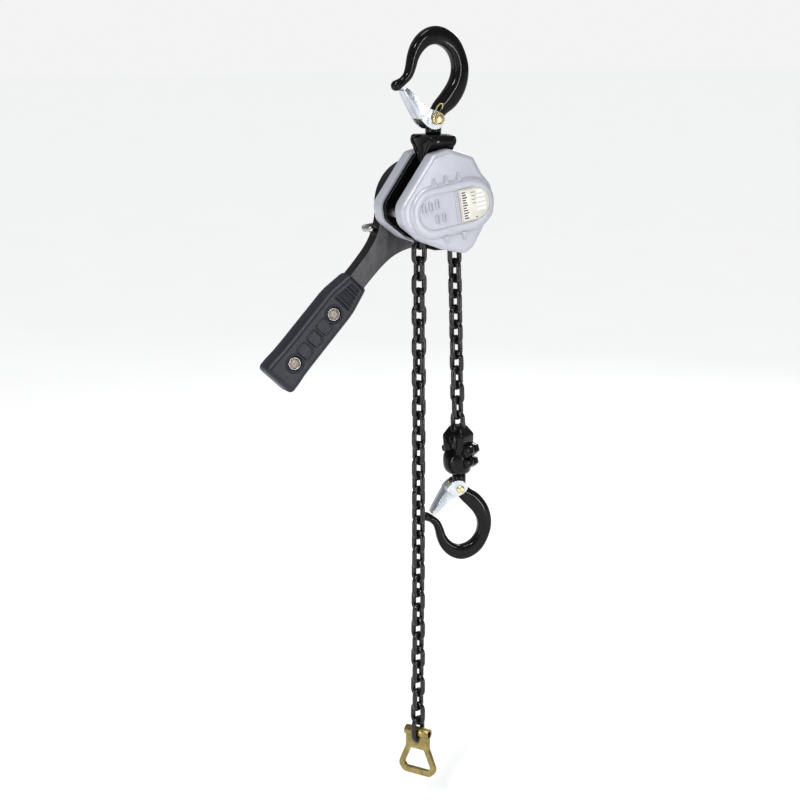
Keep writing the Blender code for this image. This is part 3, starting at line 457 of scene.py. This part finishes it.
def hook(name, body, place, scale):
    """A forged hook: round in the shank and tip, squarer with flat flanks in the bowl."""
    rows = [Vector(row) for row in HOOK_LINE[:HEAD_ROWS]] + spline(HOOK_LINE[HEAD_ROWS:], 5)
    piece = Piece(name, "black", body, place, "black_paint")
    rings = []
    for i, row in enumerate(rows):
        before, after = rows[max(0, i - 1)], rows[min(len(rows) - 1, i + 1)]
        along = Vector((0, 0, 1))
        if i >= HEAD_ROWS:
            along = Vector((after[0] - before[0], 0, after[1] - before[1])).normalized()
        side = Vector((along.z, 0, -along.x))
        # The section turns square over 15 rows past the neck, and round again over 25 rows towards the tip.
        squareness = max(0.0, min(1.0, (i - 10) / 15)) * max(0.0, min(1.0, (len(rows) - 18 - i) / 25))
        power = 1 - 0.34 * squareness
        ring = []
        for u, v in circle(1, 26):
            u, v = (math.copysign(abs(t) ** power, t) for t in (u, v))
            swell = 1 - 0.05 * squareness
            reach = (side * u * row[2] + Vector((0, 1, 0)) * v * row[3]) * swell
            ring.append((Vector((row[0], 0, row[1])) + reach) * scale)
        rings.append(ring)
    piece.loft(rings)
    piece.make([name])


def coil(radius, start, rise, count, per_turn=12):
    """A helix about Y that climbs rise in each turn."""
    path = []
    for i in range(count):
        angle = 2 * math.pi * i / per_turn
        path.append((radius * math.cos(angle), start + rise * i / per_turn, radius * math.sin(angle)))
    return path


def latch(prefix, hook_body, latch_body, hook_place, scale):
    """A folded sheet latch with a rounded heel, its coil spring and its rivet."""
    pivot = (HOOK_PIVOT[0] * scale, 0, HOOK_PIVOT[1] * scale)
    place = spot(pivot, (0, -135, 0), hook_place) @ Matrix.Scale(scale, 4)
    sheet = 1.2
    # Rows of (distance from the rivet, half-width, lowest, highest): cheeks, then a folded channel.
    stations = (
        (-7.0, 8.0, -1.5, 2.0), (-6.4, 8.0, -3.4, 4.6), (-4.6, 8.0, -4.8, 7.0), (-2.0, 8.0, -5.4, 8.8),
        (1.5, 8.0, -5.0, 9.8), (5.0, 8.0, -3.4, 10.0), (9.0, 8.0, -1.2, 9.6), (13.0, 7.9, 0.0, 8.8),
        (19.0, 7.4, 0.5, 7.4), (26.0, 6.6, 0.5, 6.0), (31.0, 5.6, 0.4, 4.8), (33.0, 4.8, 0.7, 4.1),
    )
    cheek_rows = 7
    piece = Piece(prefix + "_latch_plate", "zinc", latch_body, place, "bright_zinc")
    for side in (-1, 1):
        rings = []
        for s, half, low, high in stations[:cheek_rows]:
            outer, inner = side * half, side * (half - sheet)
            rings.append([(s, outer, low), (s, outer, high), (s, inner, high), (s, inner, low)])
        piece.loft(rings)
    rings = []
    for s, half, low, high in stations[cheek_rows - 1:]:
        soft = min(1.4, (high - low) * 0.3)
        rings.append([
            (s, -half, low), (s, -half, high - soft), (s, -half + soft * 0.35, high - soft * 0.35),
            (s, -half + soft, high), (s, half - soft, high), (s, half - soft * 0.35, high - soft * 0.35),
            (s, half, high - soft), (s, half, low), (s, half - sheet, low),
            (s, half - sheet, high - sheet), (s, -half + sheet, high - sheet), (s, -half + sheet, low),
        ])
    piece.loft(rings)
    piece.make([prefix + "_latch"], soft=0.35 * scale)

    spring = Piece(prefix + "_latch_spring", "gold", latch_body, place, "yellow_zinc")
    spring.tube(coil(3.9, -6.4, 0.95, 150), 0.42, 6)
    spring.tube([(3.7, 5.6, 0.8), (8, 5.0, 2.2), (13, 4.2, 3.4)], 0.42, 6)
    spring.tube(coil(4.3, -10.9, 0.86, 34), 0.46, 8)
    spring.make()

    rivet = Piece(prefix + "_latch_pin", "gold", hook_body, place, "yellow_zinc")
    rivet.lathe([
        (1.2, -12.4), (2.3, -12.2), (3.1, -11.7), (3.3, -11.2), (3.1, -10.9), (1.9, -10.8), (1.9, 8.25),
        (3.4, 8.3), (3.5, 8.8), (3.2, 9.4), (2.3, 10.0), (1.1, 10.2),
    ], steps=24)
    rivet.make([prefix + "_latch_rivet"])
    leg_place = hook_place @ Matrix.Scale(scale, 4)
    leg = Piece(prefix + "_spring_leg", "gold", hook_body, leg_place, "yellow_zinc")
    leg.tube(spline([
        (-4.4, -10.6, -50.4), (-3.4, -9.8, -47.4), (-1.8, -9.2, -44.6), (0.4, -8.9, -42.4),
        (2.4, -8.8, -42.2), (3.0, -8.8, -43.8), (2.2, -8.8, -46.0),
    ], 4), 0.5, 8)
    leg.make()


# ---------------------------------------------------------------- yoke


YOKE_TOP, YOKE_WAIST, YOKE_FOOT = -64.9, -72.0, -92.4
YOKE_HALF_WIDTH = 11.0


def yoke_width(z):
    """The yoke's width at a height, as a share of its full width: it narrows below its waist."""
    return 1.0 - 0.2 * max(0.0, YOKE_WAIST - z) / (YOKE_WAIST - YOKE_FOOT)


def yoke():
    """The funnel-shaped yoke in two halves, with rounded lobes and raised ribs on its flanks."""
    for name, side in (("yoke_front", -1), ("yoke_rear", 1)):
        piece = Piece(name, "black", "yoke", WORLD, "black_paint")
        outline = rounded([
            (0.1, YOKE_TOP, 0.02), (0.1, YOKE_FOOT, 0.02), (7.7, YOKE_FOOT, 1.0), (7.7, -78.6, 4.0),
            (16.9, -71.2, 3.6), (16.9, YOKE_TOP, 4.4),
        ], 6)
        if side < 0:
            outline = [(-v, w) for v, w in outline][::-1]
        piece.prism(outline, -YOKE_HALF_WIDTH, YOKE_HALF_WIDTH, place=along_x, edge=1.5)
        for vertex in piece.mesh.verts:
            vertex.co.x *= yoke_width(vertex.co.z)
        for x in (-YOKE_HALF_WIDTH, YOKE_HALF_WIDTH):
            ridge = [(14.4, -68.6), (11.4, -71.6), (7.4, -75.4), (4.2, -79.6), (3.2, -84.0)]
            piece.tube([(x * yoke_width(z), side * y, z) for y, z in ridge], 0.8, 10)
        piece.make(["yoke_front_half" if side < 0 else "yoke_rear_half"], angle=40)
    screws = Piece("yoke_screws", "black", "yoke", WORLD, "steel")
    for x in (-8.4, 8.4):
        screws.lathe([(1.3, -17.2), (1.5, -16.9), (1.5, 16.9), (1.3, 17.2)], (x, -69), 16)
    screws.make(["yoke_screw_1", "yoke_screw_2"])


# ---------------------------------------------------------------- covers and label

COVER_CORNERS = [
    (6, 43.0, 8), (-9.4, 41.6, 6), (-41.8, 9.0, 12), (-41.8, -4.8, 12), (-26.8, -20.6, 10),
    (-8.3, -30.8, 12), (7, -36.8, 5), (14.5, -33.4, 5), (26, -19.8, 8), (36.8, -12, 11),
    (36.8, 10, 11), (30, 20.0, 6), (24.4, 34.0, 6),
]
RIM = 11.55
GEAR_COVER_DEPTH = 23.0
BADGE_FRONT = 26.0
BRAKE_COVER_DEPTH = 25.0


def cover_shell(sign, depth, edge):
    """Rings of a cast cover open towards the plates, with a rounded edge and a lip along its rim."""
    outline = rounded(COVER_CORNERS, 8)
    rings = []
    for a in sweep(90, 0, 8):
        level = depth - edge + edge * math.sin(a)
        rings.append(along_y(inset(outline, edge * (1 - math.cos(a))), sign * level))
    rings.append(along_y(inset(outline, 0.0), sign * (RIM + 0.5)))
    rings.append(along_y(inset(outline, 0.15), sign * (RIM + 0.1)))
    rings.append(along_y(inset(outline, 0.5), sign * RIM))
    rings.append(along_y(inset(outline, 1.9), sign * RIM))
    rings.append(along_y(inset(outline, 2.1), sign * (RIM + 1.0)))
    rings.append(along_y(inset(outline, 2.2), sign * (depth - 2.2)))
    return rings


def gear_cover():
    """The front cover with its raised oval, the bars in the oval's floor and small cast wedges."""
    depth, front = GEAR_COVER_DEPTH, BADGE_FRONT
    piece = Piece("gear_cover_casting", "silver", "frame", BODY, "silver_paint")
    piece.loft(cover_shell(-1, depth, 4.0))
    # The raised oval: a soft shoulder, a flat rim and a sunk floor.
    half, radius = 36.2, 20.2
    rings = []
    for shrink, y in (
        (-0.2, -depth + 4), (-0.1, -depth - 0.2), (0.35, -depth - 0.9), (1.0, -front + 1.1),
        (1.9, -front + 0.45), (3.0, -front + 0.12), (4.6, -front), (6.8, -front), (7.3, -front + 0.2),
        (7.5, -front + 0.9),
    ):
        rings.append(along_y(stadium(half - max(0, shrink), radius - max(0, shrink)), y))
    piece.loft(rings, caps=(False, True))
    # Raised marks in the sunk floor, plain bars that stand for a capacity mark.
    floor = -front + 0.9
    wide, high = 3.8 / 2, 7.4 / 2
    bar = rounded([(-wide, high, 1.5), (-wide, -high, 1.5), (wide, -high, 1.5), (wide, high, 1.5)], 4)
    for centre in ((-24.2, 4.2), (-18.6, 4.9), (-13.0, 5.6), (-14.5, -5.6), (-8.6, -5.0)):
        piece.loft([
            along_y(inset(bar, shrink) if shrink else bar, floor + y, centre)
            for shrink, y in ((0.0, 0.2), (0.15, -0.95), (0.55, -1.1), (0.95, -0.95), (1.1, 0.1))
        ])
    piece.brick((2.0, floor - 0.75, -12.2), (3.4, floor + 0.4, 12.2), 0.3)
    # Small cast wedges above and below the oval.
    for u, w, way in (
        (-12.5, 22.0, 1), (-2.5, 22.4, 1), (8.4, 22.4, 1), (-9, -22.6, -1), (6, -22.6, -1),
    ):
        wedge = []
        for share, y in ((1.0, -depth + 0.6), (0.85, -depth - 1.1), (0.4, -depth - 2.7)):
            foot, tip, root, crest = 2.7 * share, 0.9 * share, -3.4 * way, 3.0 * way * share
            outline = [(-foot, root), (foot, root), (tip, crest), (-tip, crest)]
            wedge.append(along_y(outline if way > 0 else outline[::-1], y, (u, w)))
        piece.loft(wedge)
    piece.make(["gear_cover"], angle=50)


def brake_cover():
    """The rear cover, with a round hole for the drive: each rim point has its partner on the hole."""
    depth, hole_radius, wall = BRAKE_COVER_DEPTH, 15.8, 2.2
    piece = Piece("brake_cover_casting", "silver", "frame", BODY, "silver_paint")
    rings = cover_shell(1, depth, 3.0)
    bearings = [math.atan2(w, u) for u, w in rounded(COVER_CORNERS, 8)]
    hole = [(hole_radius * math.cos(a), hole_radius * math.sin(a)) for a in bearings]
    top = along_y(hole, depth)
    inner = along_y(hole, depth - wall)
    piece.loft([inner, top] + rings + [inner], caps=(False, False))
    piece.make(["brake_cover"], angle=50)


def label():
    """A film plate with a straight left edge and a round right end, printed with dashes and boxes."""
    face = -BADGE_FRONT - 0.25

    def outline(shrink):
        radius = 12.4 - shrink
        arc = [(19.0 + radius * math.cos(a), radius * math.sin(a)) for a in sweep(-90, 90, 24)]
        return arc + [(5.4 + shrink, radius), (5.4 + shrink, -radius)]

    plate = Piece("label_plate", "cream", "frame", BODY, "label_cream")
    plate.loft([
        along_y(outline(0), face + 0.75), along_y(outline(0), face + 0.1), along_y(outline(0.15), face),
    ])
    plate.make(["rating_label"], angle=50)
    ink = Piece("label_print", "ink", "frame", BODY, "label_cream")
    top = face - 0.05

    back = face + 0.02

    def bar(piece, u, w, wide, high):
        piece.brick((u - wide / 2, top, w - high / 2), (u + wide / 2, back, w + high / 2))

    outer, inner = outline(0.55), outline(0.8)
    ink.loft([
        along_y(outer, back), along_y(outer, top), along_y(inner, top), along_y(inner, back),
    ], closed=True)
    for k in range(11):
        w = 9.6 - k * 1.92
        bar(ink, 9.2 + 0.3 * (k % 3), w, 3.0 + 0.6 * ((k * 7) % 3), 1.0)
    for k in range(4):
        bar(ink, 17.0 + 0.2 * (k % 2), 8.6 - k * 2.7, 3.6 - 0.5 * (k % 2), 0.45)
    bar(ink, 18.2, -10.2, 1.6, 0.8)
    ink.make(angle=50)
    boxes = Piece("label_boxes", "white", "frame", BODY, "label_cream")
    for k, wide in enumerate((5.0, 6.6, 7.6, 8.0, 7.4)):
        bar(boxes, 22.5 + wide * 0.1, 8.4 - k * 3.3, wide, 1.9)
    boxes.make(angle=50)


# ---------------------------------------------------------------- lever, grip and selector


def lever_outline():
    """Head circle and neck with concave flares, long along the first axis."""
    head = [(34.0 * math.cos(a), 34.0 * math.sin(a)) for a in sweep(38, 322, 40)]
    neck = spline([
        (27.5, -20.4), (33.0, -16.6), (39.0, -13.2), (47, -10.2), (57, -8.6), (70, -8.0), (81, -8.0),
    ], 4)
    lower = [(p.x, p.y) for p in neck[1:]]
    upper = [(p.x, -p.y) for p in reversed(neck[1:])]
    return head + lower + upper


def lever():
    """The lever's casting with a graphite front face and black walls, and its back cover."""
    outline = lever_outline()
    piece = Piece("lever_casting", "graphite", "lever", LEVER, "graphite_paint")
    piece.loft([
        along_y(inset(outline, 1.6), 25.6), along_y(inset(outline, 1.0), 25.66),
        along_y(inset(outline, 0.5), 25.9), along_y(inset(outline, 0.25), 26.3),
    ])
    piece.make(["lever_housing"], angle=50)
    walls = Piece("lever_walls", "black", "lever", LEVER, "graphite_paint")
    walls.loft([
        along_y(inset(outline, 0.24), 26.31), along_y(inset(outline, 0.05), 26.8),
        along_y(outline, 27.6), along_y(outline, 36.0),
    ])
    walls.make(angle=50)
    flank = Piece("lever_flank", "black", "lever", LEVER, "graphite_paint")
    flank.loft([
        along_y(inset(outline, 0.6), 36.05), along_y(inset(outline, -0.1), 36.3),
        along_y(inset(outline, -0.1), 37.6), along_y(inset(outline, 0.3), 38.1),
        along_y(inset(outline, 0.9), 38.3),
    ])
    flank.make(["lever_cover"], angle=50)


# Distances along the grip are from the lever's axis. GRIP_SIDE pairs them with the grip's half-width.
GRIP_START, GRIP_END = 80.0, 178.0
GRIP_SIDE = [
    (GRIP_START, 9.4), (82.5, 10.3), (98, 13.4), (104, 13.9), (150, 14.0), (161, 14.3), (168, 15.0),
    (GRIP_END, 15.2),
]
GRIP_BOXES = (123.0, 134.6, 146.6)
GRIP_SCREWS = (111.0, 159.0)
GRIP_FACE, GRIP_SPLIT, GRIP_REAR = 22.6, 31.8, 41.0


def grip_half_width(s):
    """Half the grip's width at a distance along it, with round corners at its end."""
    for (s0, h0), (s1, h1) in zip(GRIP_SIDE, GRIP_SIDE[1:]):
        if s <= s1:
            half = h0 + (h1 - h0) * (s - s0) / (s1 - s0)
            break
    corner = 4.2
    past = max(0.0, s - (GRIP_END - corner)) / corner
    return half - corner * (1.0 - math.sqrt(max(0.0, 1.0 - past * past)))


def step(value, low, high):
    """A smooth step from 0 at low to 1 at high."""
    t = max(0.0, min(1.0, (value - low) / (high - low)))
    return t * t * (3 - 2 * t)


def box_distance(s, w, centre, half_s, half_w, corner):
    """How far (s, w) lies outside a rounded box on the grip's middle line, negative inside."""
    across, along = abs(s - centre) - half_s + corner, abs(w) - half_w + corner
    outside = math.hypot(max(across, 0.0), max(along, 0.0))
    return outside + min(max(across, along), 0.0) - corner


def grip_depth(s, w, half):
    """How far the moulded face lies behind its own highest plane."""
    edge = min(half - abs(w), (s - GRIP_START) * 1.3 + 0.4, GRIP_END - s)
    radius = 4.6
    depth = radius - math.sqrt(max(0.0, radius * radius - max(0.0, radius - edge) ** 2))
    for k in range(6):
        groove = box_distance(s, w, 85.2 + 3.1 * k, 0.75, 4.6 + 0.62 * k, 0.5)
        depth += 1.5 * (1.0 - step(groove, -0.3, 0.35))
    for centre in GRIP_BOXES:
        panel = box_distance(s, w, centre, 4.7, 5.5, 2.2)
        depth += 1.3 * (1.0 - step(panel, -0.35, 0.2))
        depth -= 0.3 * (1.0 - step(abs(panel - 0.6), 0.0, 0.7))
    for centre in GRIP_SCREWS:
        away = math.hypot(s - centre, w)
        depth += 0.7 * (1.0 - step(abs(away - 6.6), 0.35, 0.95)) + 2.9 * (1.0 - step(away, 5.1, 5.5))
    return depth


def grip():
    """Two moulded shells: ribs by the lever, three sunk panels and two sunk screws on each face."""
    columns, rows = 230, 65
    for name, face, split, sign, node_name in (
        ("grip_front", GRIP_FACE, GRIP_SPLIT - 0.1, 1, "grip_front_shell"),
        ("grip_rear", GRIP_REAR, GRIP_SPLIT + 0.1, -1, "grip_rear_shell"),
    ):
        piece = Piece(name, "plastic", "lever", LEVER, "dark_plastic")
        rings = []
        for i in range(columns + 1):
            s = GRIP_START + (GRIP_END - GRIP_START) * i / columns
            half = grip_half_width(s)
            rim = face + sign * (grip_depth(s, half, half) + 0.5)
            ring = [(s, split, -half), (s, rim, -half)]
            for k in range(rows):
                turn = math.pi * (k + 0.5) / rows
                w = -half * math.cos(turn) * (0.985 + 0.015 * math.sin(turn))
                ring.append((s, face + sign * grip_depth(s, w, half), w))
            ring += [(s, rim, half), (s, split, half)]
            rings.append(ring)
        piece.loft(rings)
        piece.make([node_name], angle=60)
    for i, s in enumerate(GRIP_SCREWS, 1):
        piece = Piece(f"grip_screw_head_{i}", "steel", "lever", LEVER, "steel")
        piece.lathe([
            (5.0, 24.6), (5.0, 23.1), (4.85, 22.8), (4.55, 22.62), (4.25, 22.7), (4.1, 23.0),
            (4.1, 23.6),
        ], (s, 0), 40)
        piece.lathe([(5.0, 39.4), (5.0, 40.4), (4.4, 40.95), (1.2, 41.0)], (s, 0), 6)
        piece.make([f"grip_screw_{i}"], angle=50)
        disc = Piece(f"grip_screw_face_{i}", "dull", "lever", LEVER, "steel")
        disc.lathe([
            (4.08, 23.5), (4.05, 23.05), (3.4, 22.8), (2.2, 22.66), (1.1, 22.62), (0.3, 22.8),
        ], (s, 0), 32)
        disc.make(angle=50)


def selector():
    """The change-over lever: an arm on its shaft and a round-ended stub that shows past the cover."""
    knob = Vector((17.7, -16.5))
    turn = math.atan2(knob.y, knob.x)
    arm = []
    for s, half, first, last in ((0, 4.2, 90, 270), (knob.length, 2.8, -90, 90)):
        for a in sweep(first, last, 10):
            u, w = s + half * math.cos(a), half * math.sin(a)
            arm.append((
                u * math.cos(turn) - w * math.sin(turn), u * math.sin(turn) + w * math.cos(turn),
            ))
    piece = Piece("selector_arm", "steel", "selector", SELECTOR, "bright_zinc")
    piece.prism(arm, 38.8, 41.2, edge=0.4)
    piece.lathe([(0.8, 29.0), (1.6, 29.2), (2.15, 29.7), (2.4, 30.4), (2.4, 39.5)], tuple(knob), 24)
    piece.lathe([(2.4, 28.4), (2.4, 40.0)], (0, 0), 20)
    piece.make(["selector_lever"], angle=45)


# ---------------------------------------------------------------- hand wheel, block and ring


def hand_wheel():
    """The knob with eight lobes, a raised rim and a hub, and the nut that holds it."""
    steps, lobes = 192, 8
    outline = []
    for i in range(steps):
        a = 2 * math.pi * i / steps
        radius = 23.0 + 1.6 * math.cos(lobes * a)
        outline.append((radius * math.cos(a), radius * math.sin(a)))
    piece = Piece("hand_wheel_knob", "black", "drive", BODY, "black_paint")
    bore = circle(4.5, steps)
    rings = [along_y(bore, 50.0)]
    for radius, y in ((9.2, 50.0), (10.0, 49.2), (11.0, 48.2)):
        rings.append(along_y(circle(radius, steps), y))
    for shrink, y in (
        (5.5, 48.2), (4.0, 49.5), (2.6, 50.0), (1.0, 49.6), (0.2, 48.6), (0.0, 47.5), (0.0, 44.2),
        (0.4, 42.9), (1.6, 42.1), (2.6, 42.0),
    ):
        rings.append(along_y(inset(outline, shrink) if shrink else outline, y))
    piece.loft(rings + [along_y(bore, 42.0)], closed=True)
    piece.make(["hand_wheel"], angle=45)
    nut = Piece("wheel_lock_nut", "steel", "drive", BODY, "steel")
    nut.prism(circle(6.6, 6), 50.3, 53.6, edge=0.35)
    nut.make(["wheel_nut"], soft=0.3, angle=25)


def hook_block():
    """The lower block: two forged halves with bolted ears, and a round swivel housing below."""
    top = -LOAD_LINKS * PITCH
    # Rows of (height, half-width along y, half-width along x, corner radius, shift along y).
    sections = (
        (3.7, 4.6, 4.0, 1.6, 0), (3.2, 5.8, 5.0, 1.8, 0), (-2.6, 9.3, 8.3, 1.9, 0),
        (-3.8, 9.7, 8.6, 1.9, 0), (-5.0, 9.7, 8.6, 1.9, 0), (-13.0, 9.3, 8.3, 1.9, 0),
        (-15.0, 8.8, 8.0, 2.2, 0.2), (-16.6, 8.6, 8.0, 3.2, 0.6), (-18.2, 9.6, 9.4, 7.0, 1.0),
        (-20.4, 10.9, 10.7, 10.0, 1.2), (-22.4, 11.3, 11.1, 10.8, 1.2), (-26.0, 11.3, 11.2, 10.9, 1.2),
        (-29.5, 11.0, 10.9, 10.6, 1.1), (-32.4, 9.9, 9.8, 9.5, 0.8), (-34.4, 8.2, 8.1, 7.8, 0.3),
        (-35.4, 5.8, 5.7, 5.4, 0),
    )
    for name, side in (("block_left", -1), ("block_right", 1)):
        piece = Piece(name, "black", "block", BLOCK, "black_paint")
        rings = []
        for z, hy, hx, soft, dy in sections:
            outline = [(side * 0.12, hy + dy), (side * 0.12, -hy + dy)]
            for first, middle in ((-90, dy - hy + soft), (0, dy + hy - soft)):
                for a in sweep(first, first + 90, 8):
                    reach = hx - soft + soft * math.cos(a)
                    outline.append((side * reach, middle + soft * math.sin(a)))
            rings.append([(u, v, top + z) for u, v in outline])
        piece.loft(rings)
        # A raised rib up the flank and rolled ears that the bolts pass through.
        rib = [(-4.1, -13.6), (-4.1, -4.4), (-2.6, -2.6), (0.6, -2.6), (2.1, -4.4), (2.1, -13.6)]
        rib = rounded([(y, top + z, 1.0) for y, z in rib][::-1], 3)
        piece.prism(rib, side * 7.6, side * 9.7, place=along_x, edge=0.5)
        for y, z, radius, reach in (
            (-10.6, -15.2, 4.9, 7.4), (-10.6, -25.0, 4.3, 6.6), (10.0, -15.2, 3.4, 4.4),
        ):
            across = radius * 1.05
            corners = [(across * math.cos(a), across * math.sin(a), 1.2) for a in sweep(15, 315, 5)]
            ear = rounded(corners, 4)
            outline = [(y + v, top + z + w) for v, w in ear]
            piece.prism(outline, side * 0.12, side * reach, place=along_x, edge=0.7)
        piece.make([name + "_half"], angle=50)
    for name, z, reach, node_name in (
        ("chain_bolt", top + 2.1, 5.2, "chain_pin"), ("clamp_bolt", top - 11, 8.4, "block_bolt"),
    ):
        piece = Piece(name, "black", "block", BLOCK, "steel")
        piece.prism(circle(3.2, 6, 0.3), reach, reach + 2.4, (0, z), along_x, 0.3)
        piece.lathe([
            (1.4, -reach - 2.3), (2.4, -reach - 2.1), (2.9, -reach - 1.4), (3.0, -reach),
        ], (0, z), 24, along_x)
        piece.lathe([(1.6, -reach - 0.1), (1.6, reach + 0.1)], (0, z), 20, along_x)
        piece.make([node_name], angle=30)


def stop_ring():
    """A folded sheet handle: a rolled tube on top, two layers below it, and dark patches of painted shade
    where the end link passes through them.
    """
    piece = Piece("ring_handle", "yellow", "stop_ring", RING, "yellow_zinc")
    outer = rounded([
        (-10.5, -3.2, 0.5), (-10.5, -13, 6), (-17.6, -30, 6), (-13, -36.5, 6), (13, -36.5, 6),
        (17.6, -30, 6), (10.5, -13, 6), (10.5, -3.2, 0.5),
    ], 8)
    inner = rounded([
        (-6.6, -14.4, 2), (-12.6, -28.6, 3), (-10.5, -31.4, 2), (10.5, -31.4, 2), (12.6, -28.6, 3),
        (6.6, -14.4, 2),
    ], 8)
    for side in (-1, 1):
        sheet_with_window(piece, outer, inner, side * 0.08, side * 1.98)
    # The rolled tube, open at its ends with a drop-shaped bore.
    profile_out, profile_in = [], []
    for a in sweep(-90, 270, 30)[:-1]:
        profile_out.append((4.1 * math.cos(a), 4.1 * math.sin(a)))
        drop = 2.35 + (1.3 * max(0.0, -math.sin(a)) ** 6)
        profile_in.append((drop * math.cos(a), drop * math.sin(a)))
    profile_end = [(v * 0.95, w * 0.95) for v, w in profile_out]
    piece.loft([
        along_x(profile_in, -10.6), along_x(profile_end, -10.75), along_x(profile_out, -10.4),
        along_x(profile_out, 10.4), along_x(profile_end, 10.75), along_x(profile_in, 10.6),
    ], closed=True)
    piece.make(["stop_ring"], angle=40)
    # Dark patches on both layers where the end link goes through: painted shade standing in for a hole that
    # is not cut.
    hole = Piece("ring_hole_shade", "ink", "stop_ring", RING, "yellow_zinc")
    for side in (-1, 1):
        outline = rounded([(-2.7, -4.6, 1.2), (-2.7, -9.4, 2.2), (2.7, -9.4, 2.2), (2.7, -4.6, 1.2)], 4)
        hole.prism(outline, side * 1.9, side * 2.03)
    hole.make()


def sheet_with_window(piece, outer, inner, near, far):
    """A flat sheet with a window: both outlines are cut where they face each other from the middle."""
    centre = Vector((0, -23.0))

    def at(outline, angle):
        """The outline's furthest point from the centre in one direction."""
        best = None
        direction = Vector((math.cos(angle), math.sin(angle)))
        for i, point in enumerate(outline):
            a = Vector(point) - centre
            b = Vector(outline[(i + 1) % len(outline)]) - centre
            cross = direction.x * (b - a).y - direction.y * (b - a).x
            if abs(cross) < 1e-9:
                continue
            t = (a.x * (b - a).y - a.y * (b - a).x) / cross
            s = (a.x * direction.y - a.y * direction.x) / cross
            if t > 0 and -1e-6 <= s <= 1 + 1e-6:
                best = t if best is None else max(best, t)
        return tuple(centre + direction * best)

    angles = sweep(0, 360, 144)[:-1]
    out = [at(outer, a) for a in angles]
    hole = [at(inner, a) for a in angles]
    sign = 1 if far > near else -1
    piece.loft([
        along_y(inset(out, 0.1), near), along_y(out, near + sign * 0.2), along_y(out, far - sign * 0.55),
        along_y(inset(out, 0.25), far - sign * 0.12), along_y(inset(out, 0.7), far),
        along_y(inset(hole, -0.7), far), along_y(inset(hole, -0.25), far - sign * 0.12),
        along_y(hole, far - sign * 0.55), along_y(hole, near + sign * 0.2),
        along_y(inset(hole, -0.1), near),
    ], closed=True)


# ---------------------------------------------------------------- scene


def lamp(name, place, aim, size, power):
    """A rectangular lamp that faces aim."""
    data = bpy.data.lights.new(name, "AREA")
    data.shape = "RECTANGLE"
    data.size, data.size_y = size
    data.energy = power
    made = bpy.data.objects.new(name, data)
    bpy.context.scene.collection.objects.link(made)
    made.location = place
    made.rotation_euler = (Vector(aim) - Vector(place)).to_track_quat("-Z", "Y").to_euler()


def floor_sheet():
    """A wide pale sheet below the stop ring."""
    mesh = bpy.data.meshes.new("floor")
    reach, level = 30.0, -0.62
    corners = [(x * reach, y * reach, level) for x, y in ((-1, -1), (1, -1), (1, 1), (-1, 1))]
    mesh.from_pydata(corners, [], [(0, 1, 2, 3)])
    floor = bpy.data.objects.new("floor", mesh)
    bpy.context.scene.collection.objects.link(floor)
    paper = material("floor_paper", (0.9, 0.9, 0.9), 0.9, specular=0.1)
    spread(paper, noise(paper, 6), (0.89, 0.89, 0.89), (0.91, 0.91, 0.91), "Base Color")
    shader = paper.node_tree.nodes["Principled BSDF"]
    shader.inputs["Emission Color"].default_value = (1, 1, 1, 1)
    shader.inputs["Emission Strength"].default_value = 0.28
    floor.data.materials.append(paper)


def surroundings():
    """Soft light from all sides, with a whiter backdrop where the camera looks past the hoist."""
    world = bpy.data.worlds.new("studio")
    bpy.context.scene.world = world
    world.use_nodes = True
    nodes, links = world.node_tree.nodes, world.node_tree.links
    light = nodes["Background"]
    light.inputs["Color"].default_value = (0.97, 0.985, 1.0, 1.0)
    light.inputs["Strength"].default_value = 0.29
    backdrop = nodes.new("ShaderNodeBackground")
    backdrop.inputs["Color"].default_value = (1, 1, 1, 1)
    backdrop.inputs["Strength"].default_value = 0.90
    rays, mixed = nodes.new("ShaderNodeLightPath"), nodes.new("ShaderNodeMixShader")
    links.new(rays.outputs["Is Camera Ray"], mixed.inputs["Fac"])
    links.new(light.outputs["Background"], mixed.inputs[1])
    links.new(backdrop.outputs["Background"], mixed.inputs[2])
    links.new(mixed.outputs["Shader"], nodes["World Output"].inputs["Surface"])


def lamps():
    """A broad overhead light and four small ones, tall where their streaks run down the chains."""
    middle = (0, 0, -0.22)
    sky = bpy.data.lights.new("overhead", "SUN")
    sky.energy = 1.35
    sky.angle = math.radians(25)
    overhead = bpy.data.objects.new("overhead", sky)
    bpy.context.scene.collection.objects.link(overhead)
    overhead.rotation_euler = (math.radians(14), math.radians(-12), 0)
    lamp("key", (-0.85, -0.85, 0.75), middle, (0.16, 0.22), 7.5)
    lamp("side", (0.38, -1.24, -0.22), middle, (0.055, 0.75), 4.2)
    lamp("left", (-1.2, -0.3, -0.22), middle, (0.035, 0.75), 3.0)
    lamp("back", (1.1, 1.1, 0.5), middle, (0.4, 0.4), 5)


def camera_view():
    """The camera, a little to the left of the gear cover and above the hoist's middle."""
    data = bpy.data.cameras.new("camera")
    data.lens = 72.45
    data.sensor_width = 36.0
    camera = bpy.data.objects.new("camera", data)
    bpy.context.scene.collection.objects.link(camera)
    camera.location = (-0.5929, -1.0623, 0.0015)
    camera.rotation_euler = (math.radians(77.5), 0, math.radians(-28))
    bpy.context.scene.camera = camera
    bpy.context.scene.view_settings.view_transform = "Standard"


def main():
    paint_solids()
    hook("top_hook", "hook_body", WORLD, 1.0)
    latch("top", "hook_body", "top_latch", WORLD, 1.0)
    yoke()
    gear_cover()
    brake_cover()
    label()
    chains()
    lever()
    grip()
    selector()
    hand_wheel()
    hook_block()
    hook("lower_hook", "lower_hook", LOWER, LOWER_SCALE)
    latch("lower", "lower_hook", "lower_latch", LOWER, LOWER_SCALE)
    stop_ring()
    floor_sheet()
    surroundings()
    lamps()
    camera_view()


main()
